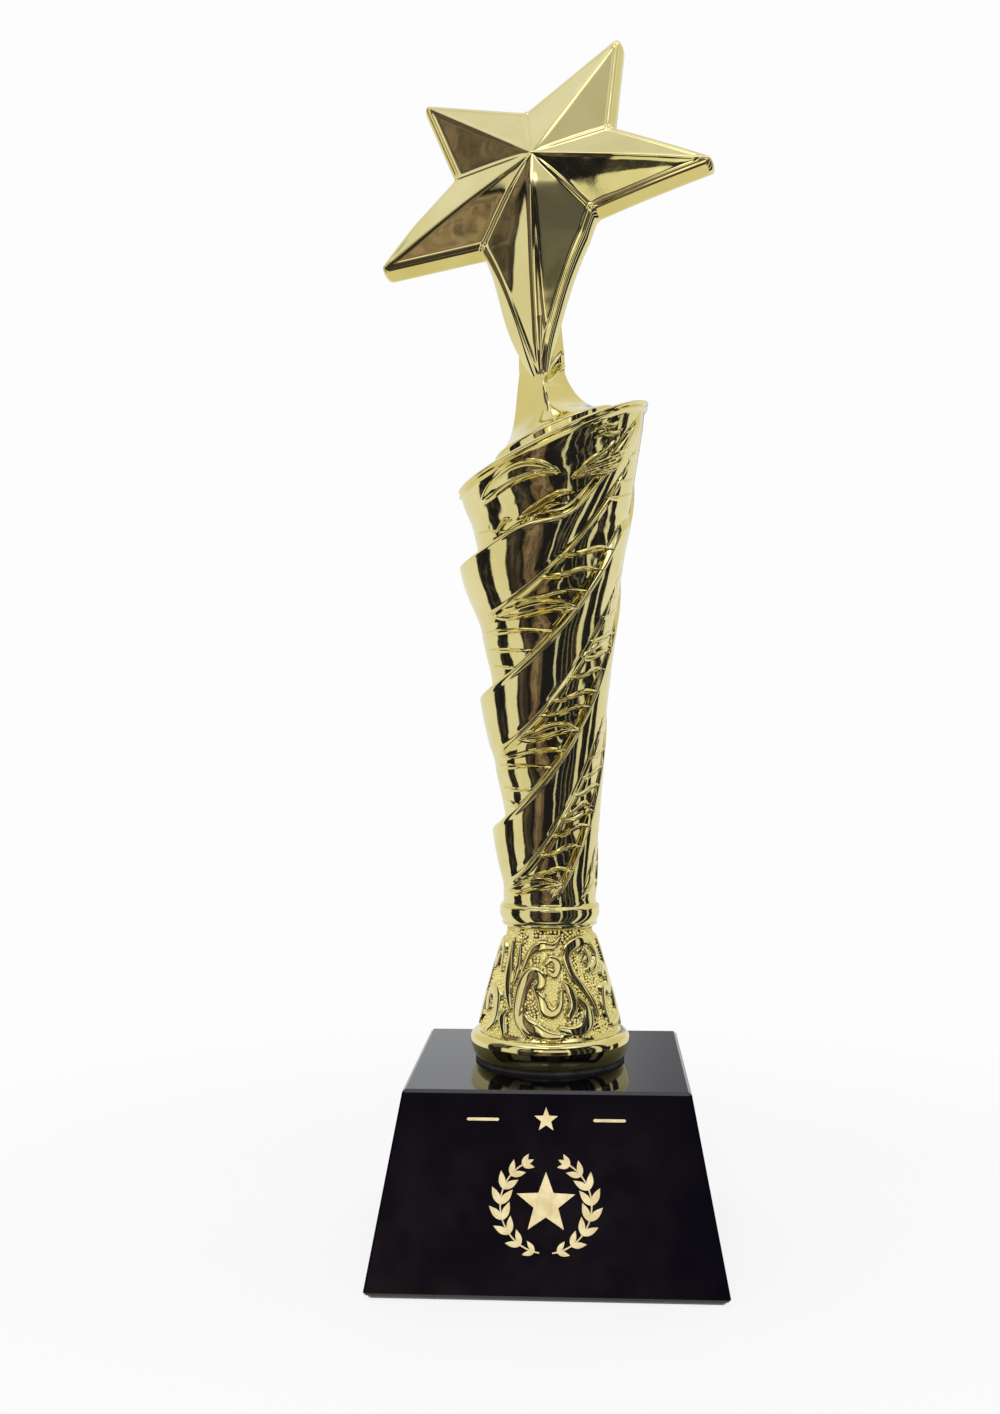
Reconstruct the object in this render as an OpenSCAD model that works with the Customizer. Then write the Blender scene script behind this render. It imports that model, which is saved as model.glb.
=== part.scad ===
// Star trophy: a cast and gold-plated figure stacked on a tie rod over a black crystal base.
// +Z is up and the origin is the centre of the underside that stands on the table.
// Bearings are measured round the column from the front (-Y), growing towards +X.

/* [Base block] */
// Width of the square block at its bottom
base_bottom_w = 100; // [80:1:140]
// Width of the square block at its top
base_top_w = 80; // [64:1:120]
// Height of the block's top above the table
base_h = 55; // [44:1:90]
// Polished bevel along the top and bottom edges
base_bevel = 0.8; // [0.4:0.1:3]
// Width of the polished flat on each upright corner
corner_flat = 0.9; // [0.3:0.1:6]
// Thickness of the felt under the block
felt_t = 1; // [0.8:0.1:3]
// How far the felt stays inside the block's edge
felt_inset = 0.5; // [0.2:0.1:5]

/* [Tie rod and nut] */
// Diameter of the threaded rod
rod_d = 8; // [6:1:10]
// Length of rod that shows below the nut
rod_tail = 3; // [1:0.5:6]
// Width of the nut across its flats
nut_af = 13; // [10:0.5:17]
// Height of the nut
nut_h = 6.5; // [4:0.5:9]
// Outside diameter of the spring washer
spring_washer_od = 14.5; // [11:0.5:18]
// Thickness of the spring washer
spring_washer_t = 2; // [1.2:0.1:3]
// Outside diameter of the flat and fibre washers
washer_od = 24; // [18:1:32]
// Thickness of the flat steel washer
flat_washer_t = 2; // [1:0.1:3]
// Thickness of the fibre washer against the glass
fibre_washer_t = 1.5; // [0.8:0.1:3]
// Diameter of the recess for the nut in the block's underside
recess_d = 30; // [26:1:44]
// Depth of that recess, from the glass underside
recess_depth = 22; // [18:1:26]
// Wall of the nylon bush that keeps the rod off the glass
bush_wall = 1.75; // [1:0.05:3]

/* [Foot and bell] */
// Thickness of the soft gasket under the foot
gasket_t = 0.8; // [0.5:0.1:2]
// How far the gasket stays inside the foot's rim
gasket_inset = 1.6; // [0.5:0.1:4]
// Radius of the round foot ring
foot_r = 24; // [20:0.5:30]
// Height of the foot ring
foot_h = 8.4; // [5:0.1:12]
// Radius of the bell where it meets the foot
bell_bottom_r = 21.3; // [16:0.1:26]
// Radius of the bell at its top
bell_top_r = 12.8; // [12:0.1:16]
// Height of the bell above its foot ring
bell_h = 29.3; // [20:0.1:45]
// Wall of the hollow foot and bell
bell_wall = 3; // [2:0.1:4]

/* [Collar] */
// Largest radius of the collar
collar_r = 15.1; // [14:0.1:18]
// Height of the collar
collar_h = 10; // [8:0.1:16]
// Radius of the short spigots that centre bell, collar and column
spigot_r = 8; // [7:0.1:9]
// Height of those spigots
spigot_h = 2; // [1:0.1:3]

/* [Column] */
// Radius of the column where it stands on the collar
column_bottom_r = 13.9; // [12:0.1:16]
// Growth of that radius for each millimetre of height
column_taper = 0.102; // [0.05:0.002:0.14]
// Height of the column on its axis
column_h = 135.5; // [110:0.5:170]
// Slope of the column's top, rising towards +X
rim_slant = 24.7; // [0:0.1:30]
// Height of the plain hoop round the top rim
hoop_h = 3; // [1.5:0.1:6]
// How far the hoop stands out
hoop_relief = 0.5; // [0.2:0.1:1.5]
// Number of ribbons that climb the column side by side
ribbon_count = 3; // [2:1:4]
// Rise from one ribbon to the next
ribbon_pitch = 39.4; // [30:0.1:50]
// Height of a ribbon
ribbon_h = 22; // [12:0.1:26]
// Narrowing of the ribbons near the top of the column
ribbon_narrowing = 10; // [0:0.1:11]
// How far a ribbon's upper edge stands out of the column
ribbon_relief = 2; // [0.5:0.1:2.5]
// Share of that relief on the lower half of the column
lower_relief = 0.35; // [0.2:0.05:1]
// Depth of the leaf bands between the ribbons
band_depth = 1.6; // [0.5:0.1:2.5]
// Extra relief on the -X side, taken off again on the +X side
side_relief = 0.6; // [0:0.05:0.8]
// How much slimmer the column is at mid height than a straight cone
column_waist = 1.4; // [0:0.1:2.5]
// Sideways bow of the column's middle towards -X
column_bow = 0.7; // [0:0.1:1.5]
// Height of the lower edge of the first ribbon above the column's foot, on the axis
ribbon_start = 33.6; // [10:0.1:60]
// How much the ribbons dip at the front of the column
ribbon_dip = 17.4; // [0:0.1:17.5]
// Bearing of the lowest point of that dip
dip_bearing = -10; // [-60:1:60]
// Wall of the hollow column behind the ribbons
column_wall = 5; // [4.5:0.1:7]

/* [Crown and stem] */
// Radius of the crown's skirt on the slanted rim
skirt_r = 19.8; // [16:0.1:21]
// Height of the skirt
skirt_h = 3.1; // [2:0.1:6]
// Width of the stem from side to side
stem_w = 13.8; // [11:0.1:16]
// Depth of the stem from front to back
stem_d = 15.6; // [14:0.1:18]
// Height above the middle of the rim where the flare has become the stem
flare_h = 22.5; // [16:0.5:26]
// Share of its depth that the stem's back loses towards the top, where it slopes to the star's back
stem_back_slope = 0.6; // [0:0.05:0.65]
// Sideways offset of the skirt on the rim
skirt_shift = 2; // [-3:0.1:3]
// Sideways lean of the stem's top
stem_shift = -2; // [-4:0.1:4]
// Radius of the plug that centres the crown in the column
plug_r = 12.8; // [11:0.1:14]
// Length of the plug below the middle of the rim
plug_h = 26; // [24:0.5:40]

/* [Star] */
// Radius from the star's centre to its four free tips, before they are rounded
star_r = 56.5; // [45:0.5:70]
// Radius from the star's centre to its notches
notch_r = 26.3; // [20:0.1:32]
// Length of the lower arm, before its tip is rounded
lower_arm = 70; // [60:0.5:85]
// How far the lower arm is drawn back into the stem
lower_arm_back = 12.5; // [0:0.5:16]
// How much narrower the lower arm is at its middle than a straight taper
lower_arm_waist = 0.1; // [0:0.01:0.35]
// How far the back of the lower arm spreads out on its -X side
lower_arm_web = 4; // [0:0.1:5]
// Direction of the lower arm in the star's plane
lower_arm_angle = 277.3; // [270:0.5:290]
// Height of the star's peak above its front edge, front and back
star_peak = 8.2; // [5:0.1:14]
// Thickness of the star's rim from front edge to back edge
rim_t = 5.8; // [5:0.1:10]
// How far the rim swells outside those edges
rim_swell = 1.2; // [0.5:0.1:4]
// Length along each edge that a tip's rounding takes
tip_round = 3.6; // [2:0.1:8]
// Turn of the star about the upright axis
star_turn = -18; // [-30:1:30]
// Backward lean of the star
star_lean = 25.8; // [10:0.1:35]
// Turn of the star in its own plane
star_spin = -3; // [-10:0.1:10]
// Height of the lower tip above the middle of the rim
cradle_h = 21.2; // [16:0.1:30]
// How far the stem reaches up behind the star from that tip
cradle_reach = 17.3; // [14:0.1:18]
// Diameter of the dowel that holds the star on the stem
dowel_d = 4; // [3:0.5:5]
// Length of that dowel
dowel_l = 9.5; // [7:0.5:11]
// Distance of that dowel from the lower arm's tip
dowel_up = 11; // [9:0.5:14]

/* [Fits] */
// Gap round a part that is slipped into place
slip_gap = 0.2; // [0.1:0.05:0.4]
// Gap round a part that is pressed or screwed in
tight_gap = 0.05; // [0.02:0.01:0.1]
// Gap between the star and its cradle
cradle_gap = 0.15; // [0.1:0.05:0.3]

/* [Hidden] */

gold = "#d9c671";
glass_black = "#0c0b12";
soft_black = "#1c1c1f";
steel = "#b9bcc2";
brass = "#b99a4c";
nylon = "#e8e6dd";
fibre = "#8a3b2a";

$fn = 96;
over = 1;

// Levels of the stack, from the table upwards
glass_z = felt_t;
recess_top_z = glass_z + recess_depth;
foot_z = base_h + gasket_t;
bell_z = foot_z + foot_h;
collar_z = bell_z + bell_h;
column_z = collar_z + collar_h;
rim_z = column_z + column_h;
plug_z = rim_z - plug_h;
socket_z = plug_z - over;

// The rod runs from below the nut to the insert in the plug
bush_od = rod_d + 2 * bush_wall;
rod_hole_r = rod_d / 2 + slip_gap;
flat_washer_z = recess_top_z - fibre_washer_t - flat_washer_t;
spring_washer_z = flat_washer_z - spring_washer_t;
nut_z = spring_washer_z - nut_h;
rod_z = nut_z - rod_tail;
insert_wall = 2;
insert_l = 14;
insert_r = rod_d / 2 + insert_wall;
rod_top_z = plug_z + insert_l - insert_wall;

// Quadratic curve from a to c that leaves and arrives towards b
function curve(a, b, c, n = 10) =
    [for (i = [0:n]) let (t = i / n) a * (1 - t) * (1 - t) + 2 * b * t * (1 - t) + c * t * t];

// Smooth change from 0 at a to 1 at b
function ease(a, b, x) = let (t = max(0, min(1, (x - a) / (b - a)))) t * t * (3 - 2 * t);

// BASE

// Upright section of the block with bevelled top and bottom edges, at half widths b and t
function block_section(b, t) = let (
    draft = (b - t) / (base_h - glass_z),
    bevel_in = base_bevel * draft
) [
    [-b + base_bevel, glass_z], [b - base_bevel, glass_z],
    [b - bevel_in, glass_z + base_bevel], [t + bevel_in, base_h - base_bevel],
    [t - base_bevel, base_h], [-t + base_bevel, base_h],
    [-t - bevel_in, base_h - base_bevel], [-b + bevel_in, glass_z + base_bevel]
];

// The section drawn out to both sides, turned about the upright axis
module block_slab(bearing, b, t)
    rotate([0, 0, bearing])
        rotate([90, 0, 0])
            linear_extrude(2 * base_bottom_w, center = true)
                polygon(block_section(b, t));

// Black crystal block, drilled for the rod and recessed for the nut
module base_block() {
    corner_b = (base_bottom_w * sqrt(2) - corner_flat) / 2;
    corner_t = (base_top_w * sqrt(2) - corner_flat) / 2;
    color(glass_black)
    difference() {
        intersection() {
            block_slab(0, base_bottom_w / 2, base_top_w / 2);
            block_slab(90, base_bottom_w / 2, base_top_w / 2);
            block_slab(45, corner_b, corner_t);
            block_slab(135, corner_b, corner_t);
        }
        translate([0, 0, glass_z - over])
            cylinder(d = recess_d, h = recess_depth + over);
        cylinder(d = bush_od + 2 * slip_gap, h = base_h + over);
    }
}

// Felt sheet that covers the underside and the nut's recess
module felt_pad() {
    side = base_bottom_w - 2 * base_bevel - 2 * felt_inset;
    color(soft_black)
    translate([-side / 2, -side / 2, 0])
        cube([side, side, felt_t]);
}

// FASTENING

// Flat ring with the rod's clearance hole
module washer(od, t, z)
    translate([0, 0, z])
        difference() {
            cylinder(d = od, h = t);
            translate([0, 0, -over])
                cylinder(r = rod_hole_r, h = t + 2 * over);
        }

module fibre_washer() color(fibre) washer(washer_od, fibre_washer_t, recess_top_z - fibre_washer_t);

module flat_washer() color(steel) washer(washer_od, flat_washer_t, flat_washer_z);

// Spring washer, split by a slanted cut
module spring_washer() {
    cut_w = 1;
    cut_slant = 20;
    color(steel)
    difference() {
        washer(spring_washer_od, spring_washer_t, spring_washer_z);
        translate([0, -spring_washer_od / 2, spring_washer_z + spring_washer_t / 2])
            rotate([0, cut_slant, 0])
                cube([cut_w, spring_washer_od - rod_d, 3 * spring_washer_t], center = true);
    }
}

// Hexagon nut with chamfered corners
module hex_nut() {
    corner_r = nut_af / 2 / cos(30);
    chamfer = (corner_r - nut_af / 2) / 2;
    color(steel)
    translate([0, 0, nut_z])
        difference() {
            intersection() {
                cylinder(r = corner_r, h = nut_h, $fn = 6);
                rotate_extrude()
                    polygon([
                        [0, 0], [corner_r - 2 * chamfer, 0], [corner_r, chamfer],
                        [corner_r, nut_h - chamfer], [corner_r - 2 * chamfer, nut_h], [0, nut_h]
                    ]);
            }
            translate([0, 0, -over])
                cylinder(r = rod_d / 2 + tight_gap, h = nut_h + 2 * over);
        }
}

// Threaded rod with chamfered ends
module tie_rod() {
    chamfer = rod_d / 10;
    color(steel)
    rotate_extrude()
        polygon([
            [0, rod_z], [rod_d / 2 - chamfer, rod_z], [rod_d / 2, rod_z + chamfer],
            [rod_d / 2, rod_top_z - chamfer], [rod_d / 2 - chamfer, rod_top_z], [0, rod_top_z]
        ]);
}

// Nylon sleeve between the rod and the glass
module rod_bush()
    color(nylon)
    translate([0, 0, recess_top_z])
        difference() {
            cylinder(d = bush_od, h = base_h - recess_top_z);
            translate([0, 0, -over])
                cylinder(r = rod_hole_r, h = base_h);
        }

// Brass insert pressed into the plug, which the rod screws into
module stem_insert()
    color(brass)
    translate([0, 0, plug_z])
        difference() {
            cylinder(r = insert_r, h = insert_l);
            translate([0, 0, -over])
                cylinder(r = rod_d / 2 + tight_gap, h = insert_l + 2 * over);
        }

// FOOT, BELL AND COLLAR

// Soft ring under the foot
module foot_gasket() {
    outer = foot_r - gasket_inset;
    inner = foot_r - 2 * bell_wall - gasket_inset;
    color(soft_black)
    translate([0, 0, base_h])
        difference() {
            cylinder(r = outer, h = gasket_t);
            translate([0, 0, -over])
                cylinder(r = inner, h = gasket_t + 2 * over);
        }
}

// One hollow casting: a rounded foot ring, a bell above it and a spigot on top
module scroll_bell() {
    lip = foot_h / 4;
    deck = 2 * bell_wall;
    foot_top = curve([foot_r, bell_z - lip], [foot_r, bell_z], [foot_r - lip, bell_z]);
    foot_bottom = curve([foot_r - lip / 2, foot_z], [foot_r, foot_z], [foot_r, foot_z + lip]);
    flank = curve([bell_bottom_r, bell_z],
                  [(bell_bottom_r + bell_top_r) / 2 + 0.9, bell_z + bell_h * 0.58],
                  [bell_top_r, collar_z]);
    color(gold)
    difference() {
        rotate_extrude()
            polygon(concat(
                [[0, foot_z]], foot_bottom, foot_top, flank,
                [[spigot_r, collar_z], [spigot_r, collar_z + spigot_h], [0, collar_z + spigot_h]]
            ));
        rotate_extrude()
            polygon([
                [0, foot_z - over], [foot_r - 2 * bell_wall, foot_z - over],
                [foot_r - 2 * bell_wall, foot_z], [bell_bottom_r - bell_wall, bell_z],
                [bell_top_r - bell_wall, collar_z - deck], [0, collar_z - deck]
            ]);
        cylinder(r = rod_hole_r, h = column_z);
    }
}

// Recess that takes the spigot of the piece below
module spigot_recess(z)
    translate([0, 0, z - over])
        cylinder(r = spigot_r + slip_gap, h = spigot_h + slip_gap + over);

// Cushion-shaped collar: a hollow up to a crisp lip, a round band and a shoulder with a fine step
module collar_ring() {
    lip_z = collar_z + 0.2 * collar_h;
    band_z = collar_z + 0.52 * collar_h;
    step_z = collar_z + 0.78 * collar_h;
    step = 0.3;
    step_r = (collar_r + column_bottom_r) / 2 + step;
    hollow = curve([bell_top_r, collar_z], [bell_top_r + step, lip_z - step], [collar_r - step, lip_z], 5);
    band = curve([collar_r - step, lip_z], [collar_r + step, (lip_z + band_z) / 2], [collar_r, band_z], 6);
    shoulder = curve([collar_r, band_z], [collar_r - step, step_z - step], [step_r, step_z], 6);
    sweep = curve([step_r - step, step_z], [column_bottom_r, step_z + step], [column_bottom_r, column_z], 6);
    color(gold)
    difference() {
        rotate_extrude()
            polygon(concat(
                [[0, collar_z]], hollow, band, shoulder, sweep,
                [[spigot_r, column_z], [spigot_r, column_z + spigot_h], [0, column_z + spigot_h]]
            ));
        spigot_recess(collar_z);
        cylinder(r = rod_hole_r, h = rim_z);
    }
}

// COLUMN

bearing_count = 60;
bearings = [for (i = [0:bearing_count]) -180 + 360 * i / bearing_count];
wrap_z = ribbon_pitch * ribbon_count;

// Rows of one ribbon and the leaf band above it: [share of the ribbon, share of the band, relief]
// A relief of 1 is the ribbon's upper edge, and -1 is the floor of the leaf band.
ribbon_rows = [
    [0, 0, -1], [0.035, 0, -0.1], [0.13, 0, -0.35], [0.4, 0, 0.1], [0.72, 0, 0.6],
    [0.92, 0, 1], [0.99, 0, 0.75], [1, 0.08, -0.9], [1, 0.4, -0.9], [1, 0.8, -1]
];
row_count = len(ribbon_rows);

function column_r(z) = column_bottom_r + column_taper * (z - column_z);

// 1 at the column's mid height and 0 at its ends
function middle(z) = sin(180 * max(0, min(1, (z - column_z) / column_h)));

function place(bearing, r, z) = [r * sin(bearing), -r * cos(bearing), z];

// Height of the lower edge of ribbon k
function ribbon_z(bearing, k) = column_z + ribbon_start + ribbon_pitch * k
    + wrap_z * bearing / 360 - ribbon_dip * cos(bearing - dip_bearing);

// Height of a ribbon whose lower edge is at z
function ribbon_height(z) = ribbon_h
    - ribbon_narrowing * ease(0.64 * column_h, 0.77 * column_h, z - column_z);

function row_z(bearing, j) = let (
    k = floor(j / row_count),
    row = ribbon_rows[j - k * row_count],
    z = ribbon_z(bearing, k),
    h = ribbon_height(z)
) z + row[0] * h + row[1] * (ribbon_pitch - h);

// The relief is stronger on the -X side and dies out towards the collar and the hoop
function row_r(bearing, j, z, top) = let (
    share = ribbon_rows[j - floor(j / row_count) * row_count][2],
    growth = lower_relief + (1 - lower_relief) * ease(0.45 * column_h, 0.7 * column_h, z - column_z),
    relief = share > 0 ? share * ribbon_relief * growth : share * band_depth,
    fade = ease(0, fade_h, z - column_z) * ease(0, fade_h, top - z),
    form = relief * (1 - side_relief * sin(bearing)) - middle(z) * (column_waist + column_bow * sin(bearing))
) column_r(z) + fade * form;

// Point of the slanted rim plane that stands out from the column's cone by d
function rim_point(bearing, d) = let (
    s = tan(rim_slant) * sin(bearing),
    z = (rim_z + s * (column_bottom_r + d - column_taper * column_z)) / (1 - s * column_taper)
) place(bearing, column_r(z) + d, z);

function hoop_points(bearing) = let (top = rim_point(bearing, 0)[2]) [
    place(bearing, column_r(top - hoop_h), top - hoop_h),
    place(bearing, column_r(top - 0.8 * hoop_h) + hoop_relief * 0.7, top - 0.8 * hoop_h),
    place(bearing, column_r(top - 0.45 * hoop_h) + hoop_relief, top - 0.45 * hoop_h),
    place(bearing, column_r(top - 0.15 * hoop_h) + hoop_relief * 0.7, top - 0.15 * hoop_h),
    rim_point(bearing, 0)
];

// Height over which the relief dies out
fade_h = 8;

// Rows that lie between the column's foot and the hoop at one bearing
least_step = 0.35;
row_span = ceil((column_h + 2 * wrap_z) / ribbon_pitch) * row_count;
function rows_at(bearing) = let (top = hoop_points(bearing)[0][2]) [
    for (j = [-row_span:row_span])
        let (z = row_z(bearing, j))
            if (z > column_z + least_step && z < top - least_step) j
];

// Two triangles between points l and r and the points above them
function quad(l, r) = [[l, l + 1, r + 1], [l, r + 1, r]];

// Solid outside of the column, with its mesh lines running along the ribbons
module column_outside() {
    rows = [for (i = [0:bearing_count - 1]) rows_at(bearings[i])];
    hoop_n = len(hoop_points(0));
    counts = [for (r = rows) 1 + len(r) + hoop_n];
    starts = [for (i = 0, s = 0; i < bearing_count; s = s + counts[i], i = i + 1) s];
    points = [
        for (i = [0:bearing_count - 1])
            let (b = bearings[i], hoop = hoop_points(b))
                each concat(
                    [place(b, column_r(column_z), column_z)],
                    [for (j = rows[i]) let (z = row_z(b, j)) place(b, row_r(b, j, z, hoop[0][2]), z)],
                    hoop
                )
    ];
    // Each strip joins one bearing to the next. A full turn lifts a row by ribbon_count ribbons.
    strips = [
        for (i = [0:bearing_count - 1])
            let (
                n = (i + 1) % bearing_count,
                lift = n == 0 ? ribbon_count * row_count : 0,
                left = rows[i],
                right = [for (j = rows[n]) j - lift],
                l0 = left[0],
                l1 = left[len(left) - 1],
                r0 = right[0],
                r1 = right[len(right) - 1],
                la = starts[i] + 1 - l0,
                ra = starts[n] + 1 - r0,
                lh = la + l1 + 1,
                rh = ra + r1 + 1
            )
            each concat(
                [[starts[i], la + l0, ra + l0]],
                [for (j = [r0:1:l0 - 1]) [starts[i], ra + j + 1, ra + j]],
                [[starts[i], ra + r0, starts[n]]],
                [for (j = [l0:1:r1 - 1]) each quad(la + j, ra + j)],
                [[rh, ra + r1, la + r1]],
                [for (j = [r1:1:l1 - 1]) [rh, la + j, la + j + 1]],
                [[rh, la + l1, lh]],
                [for (j = [0:hoop_n - 2]) each quad(lh + j, rh + j)]
            )
    ];
    foot_face = [for (i = [0:bearing_count - 1]) starts[i]];
    rim_face = [for (i = [bearing_count - 1:-1:0]) starts[i] + counts[i] - 1];
    polyhedron(points, concat(strips, [foot_face, rim_face]), convexity = 6);
}

// Hollow casting: a cone wound with ribbons, closed at both ends round the rod and the plug
module column() {
    deck = 8;
    hollow_z = column_z + deck;
    hollow_top_z = socket_z - deck;
    hollow_steps = 8;
    hollow_wall = [
        for (i = [0:hollow_steps])
            let (z = hollow_z + (hollow_top_z - hollow_z) * i / hollow_steps)
                [column_r(z) - middle(z) * (column_waist + column_bow) - column_wall, z]
    ];
    color(gold)
    difference() {
        column_outside();
        rotate_extrude()
            polygon(concat([[0, hollow_z]], hollow_wall, [[0, hollow_top_z]]));
        translate([0, 0, socket_z])
            cylinder(r = plug_r + slip_gap, h = column_h);
        spigot_recess(column_z);
        cylinder(r = rod_hole_r, h = rim_z);
    }
}

// STAR

star_step = 72;
arm_count = 5;
lower_k = arm_count - 1;
function arm_angle(k) = k == lower_k ? lower_arm_angle : star_spin + star_step * k;
function arm_r(k) = k == lower_k ? lower_arm : star_r;
function polar(r, a) = [r * cos(a), r * sin(a)];
function unit(v) = v / norm(v);

// Points along one edge of the lower arm, where the edge is bent
edge_steps = 6;
function edge(k, a, b) = k == lower_k ? [for (i = [1:edge_steps]) a + (b - a) * i / (edge_steps + 1)] : [];

// Rounded corner at b, seen from a and c, with a reach along both sides
function rounded(a, b, c, reach, n) = curve(b + reach * unit(a - b), b, b + reach * unit(c - b), n);

notch_round = 1.6;
star_outline = [
    for (k = [0:arm_count - 1])
        let (
            tip = polar(arm_r(k), arm_angle(k)),
            notch = polar(notch_r, star_spin + star_step * (k + 0.5)),
            before = polar(notch_r, star_spin + star_step * (k - 0.5)),
            next = polar(arm_r((k + 1) % arm_count), arm_angle((k + 1) % arm_count))
        )
        each concat(
            edge(k, before, tip),
            rounded(before, tip, notch, tip_round, 4),
            edge(k, tip, notch),
            rounded(tip, notch, next, notch_round, 2)
        )
];
outline_n = len(star_outline);

// Outward direction of the outline at point i
function outline_normal(i) = let (
    t = unit(star_outline[(i + 1) % outline_n] - star_outline[(i + outline_n - 1) % outline_n])
) [t[1], -t[0]];

// Distance of a point from the centre along the lower arm
along = polar(1, lower_arm_angle);
function reach(p) = p[0] * along[0] + p[1] * along[1];

// Spread of the back at outline point i, on the -X edge of the lower arm only
function web(i) = let (
    p = star_outline[i],
    t = (reach(p) - notch_r) / (lower_arm - notch_r),
    inner = p[0] * along[1] - p[1] * along[0] > 0
) inner && t > 0 && t < 1 ? lower_arm_web * sin(180 * t) : 0;

// The lower arm is waisted beyond the notches, and drawn back from nearer the centre
bend_r = 10;
bend_power = 1.3;
function bend(p) = let (
    t = min(1, max(0, reach(p) - notch_r) / (lower_arm - notch_r)),
    back = pow(max(0, reach(p) - bend_r) / (lower_arm - bend_r), bend_power),
    waist = 1 - lower_arm_waist * 4 * t * (1 - t),
    middle = reach(p) * along
) [
    middle[0] + (p[0] - middle[0]) * waist,
    middle[1] + (p[1] - middle[1]) * waist,
    p[2] - lower_arm_back * back
];

facet_shares = [0.2, 0.4, 0.55, 0.7, 0.82, 0.92];

// Ring on the facets, at a share of the way from the peak to the edge, on the front or the back
function facet_ring(share, edge_z, peak_z, grow, back) = [
    for (i = [0:outline_n - 1])
        let (p = (star_outline[i] + (grow + back * web(i)) * outline_normal(i)) * share)
            bend([p[0], p[1], peak_z + (edge_z - peak_z) * share])
];

// Ring round the swollen rim, from the front edge at 90 degrees to the back edge at -90
function rim_ring(angle, grow) = [
    for (i = [0:outline_n - 1])
        let (
            swell = grow + rim_swell * cos(angle) + web(i) * (1 - sin(angle)) / 2,
            p = star_outline[i] + swell * outline_normal(i)
        )
        bend([p[0], p[1], (rim_t / 2 + grow) * sin(angle) - rim_t / 2])
];

// The star in its own plane, its front edge at z = 0 and its peaks on the axis
module star_solid(grow = 0) {
    front_z = grow;
    back_z = -rim_t - grow;
    rings = concat(
        [for (s = facet_shares) facet_ring(s, front_z, star_peak + grow, grow, 0)],
        [for (a = [90:-30:-90]) rim_ring(a, grow)],
        [for (i = [len(facet_shares) - 1:-1:0])
            facet_ring(facet_shares[i], back_z, -rim_t - star_peak - grow, grow, 1)]
    );
    last = len(rings) - 1;
    points = concat([for (r = rings) each r], [[0, 0, star_peak + grow], [0, 0, -rim_t - star_peak - grow]]);
    front_peak = len(points) - 2;
    back_peak = len(points) - 1;
    bands = [
        for (k = [0:last - 1], i = [0:outline_n - 1])
            let (
                a = k * outline_n + i,
                b = k * outline_n + (i + 1) % outline_n
            )
            each [[a, a + outline_n, b + outline_n], [a, b + outline_n, b]]
    ];
    peaks = [
        for (i = [0:outline_n - 1])
            let (n = (i + 1) % outline_n)
                each [[front_peak, i, n], [back_peak, last * outline_n + n, last * outline_n + i]]
    ];
    polyhedron(points, concat([for (f = bands) [f[2], f[1], f[0]]], [for (f = peaks) [f[2], f[1], f[0]]]));
}

// Front edge of the lower tip, after its rounding, in the star's own plane
tip_point = let (p = polar(lower_arm - tip_round / 2, lower_arm_angle)) bend([p[0], p[1], 0]);
tip_place = [stem_shift, -stem_d / 2 - 2, rim_z + cradle_h];

// Puts the star's lower tip on the stem, turned and leaned as it stands
module stand_star()
    translate(tip_place)
        rotate([90 - star_lean, 0, star_turn])
            translate(-tip_point)
                children();

// A dowel is drilled level, straight back from the middle of the lower arm's thickness
function turn_x(p, a) = [p[0], p[1] * cos(a) - p[2] * sin(a), p[1] * sin(a) + p[2] * cos(a)];
function turn_z(p, a) = [p[0] * cos(a) - p[1] * sin(a), p[0] * sin(a) + p[1] * cos(a), p[2]];
dowel_start = let (
    p = polar(lower_arm - dowel_up, lower_arm_angle),
    from_tip = bend([p[0], p[1], -rim_t / 2]) - tip_point
) tip_place + turn_z(turn_x(from_tip, 90 - star_lean), star_turn);

// Hole for the dowel, blind in both pieces
module dowel_hole()
    translate(dowel_start - [0, slip_gap, 0])
        rotate([-90, 0, 0])
            cylinder(d = dowel_d + 2 * tight_gap, h = dowel_l + 2 * slip_gap);

module star()
    color(gold)
    difference() {
        stand_star() star_solid();
        dowel_hole();
    }

// Steel dowel between the star's lower arm and the stem
module star_dowel()
    color(steel)
    translate(dowel_start)
        rotate([-90, 0, 0])
            cylinder(d = dowel_d, h = dowel_l);

// CROWN AND STEM

crown_sides = 40;
stem_h = cradle_h + cradle_reach;

// Sections of the crown: [height above the rim plane, radius across, radius front to back, squareness]
// A squareness of 2 is round and 1 is a diamond with its edges at the front, back and sides.
crown_sections = let (
    w = stem_w / 2,
    d = stem_d / 2,
    skirt = curve([0, skirt_r], [skirt_h * 0.8, skirt_r + 0.2], [skirt_h, skirt_r - 0.4], 5),
    flare = curve([skirt_h + 0.6, skirt_r - 1, 0], [skirt_h + 3, w + 4, 0.35], [flare_h, w, 1], 12)
) concat(
    [for (p = skirt) [p[0], p[1], p[1], 2]],
    [for (p = flare) [p[0], p[1], p[1] + (d - w) * p[2], 2 - 0.75 * p[2]]],
    [for (i = [1:5]) [flare_h + (stem_h - flare_h) * i / 5, w, d, 1.25]]
);

function diamond(a, p) = pow(pow(abs(cos(a)), p) + pow(abs(sin(a)), p), -1 / p);

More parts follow.
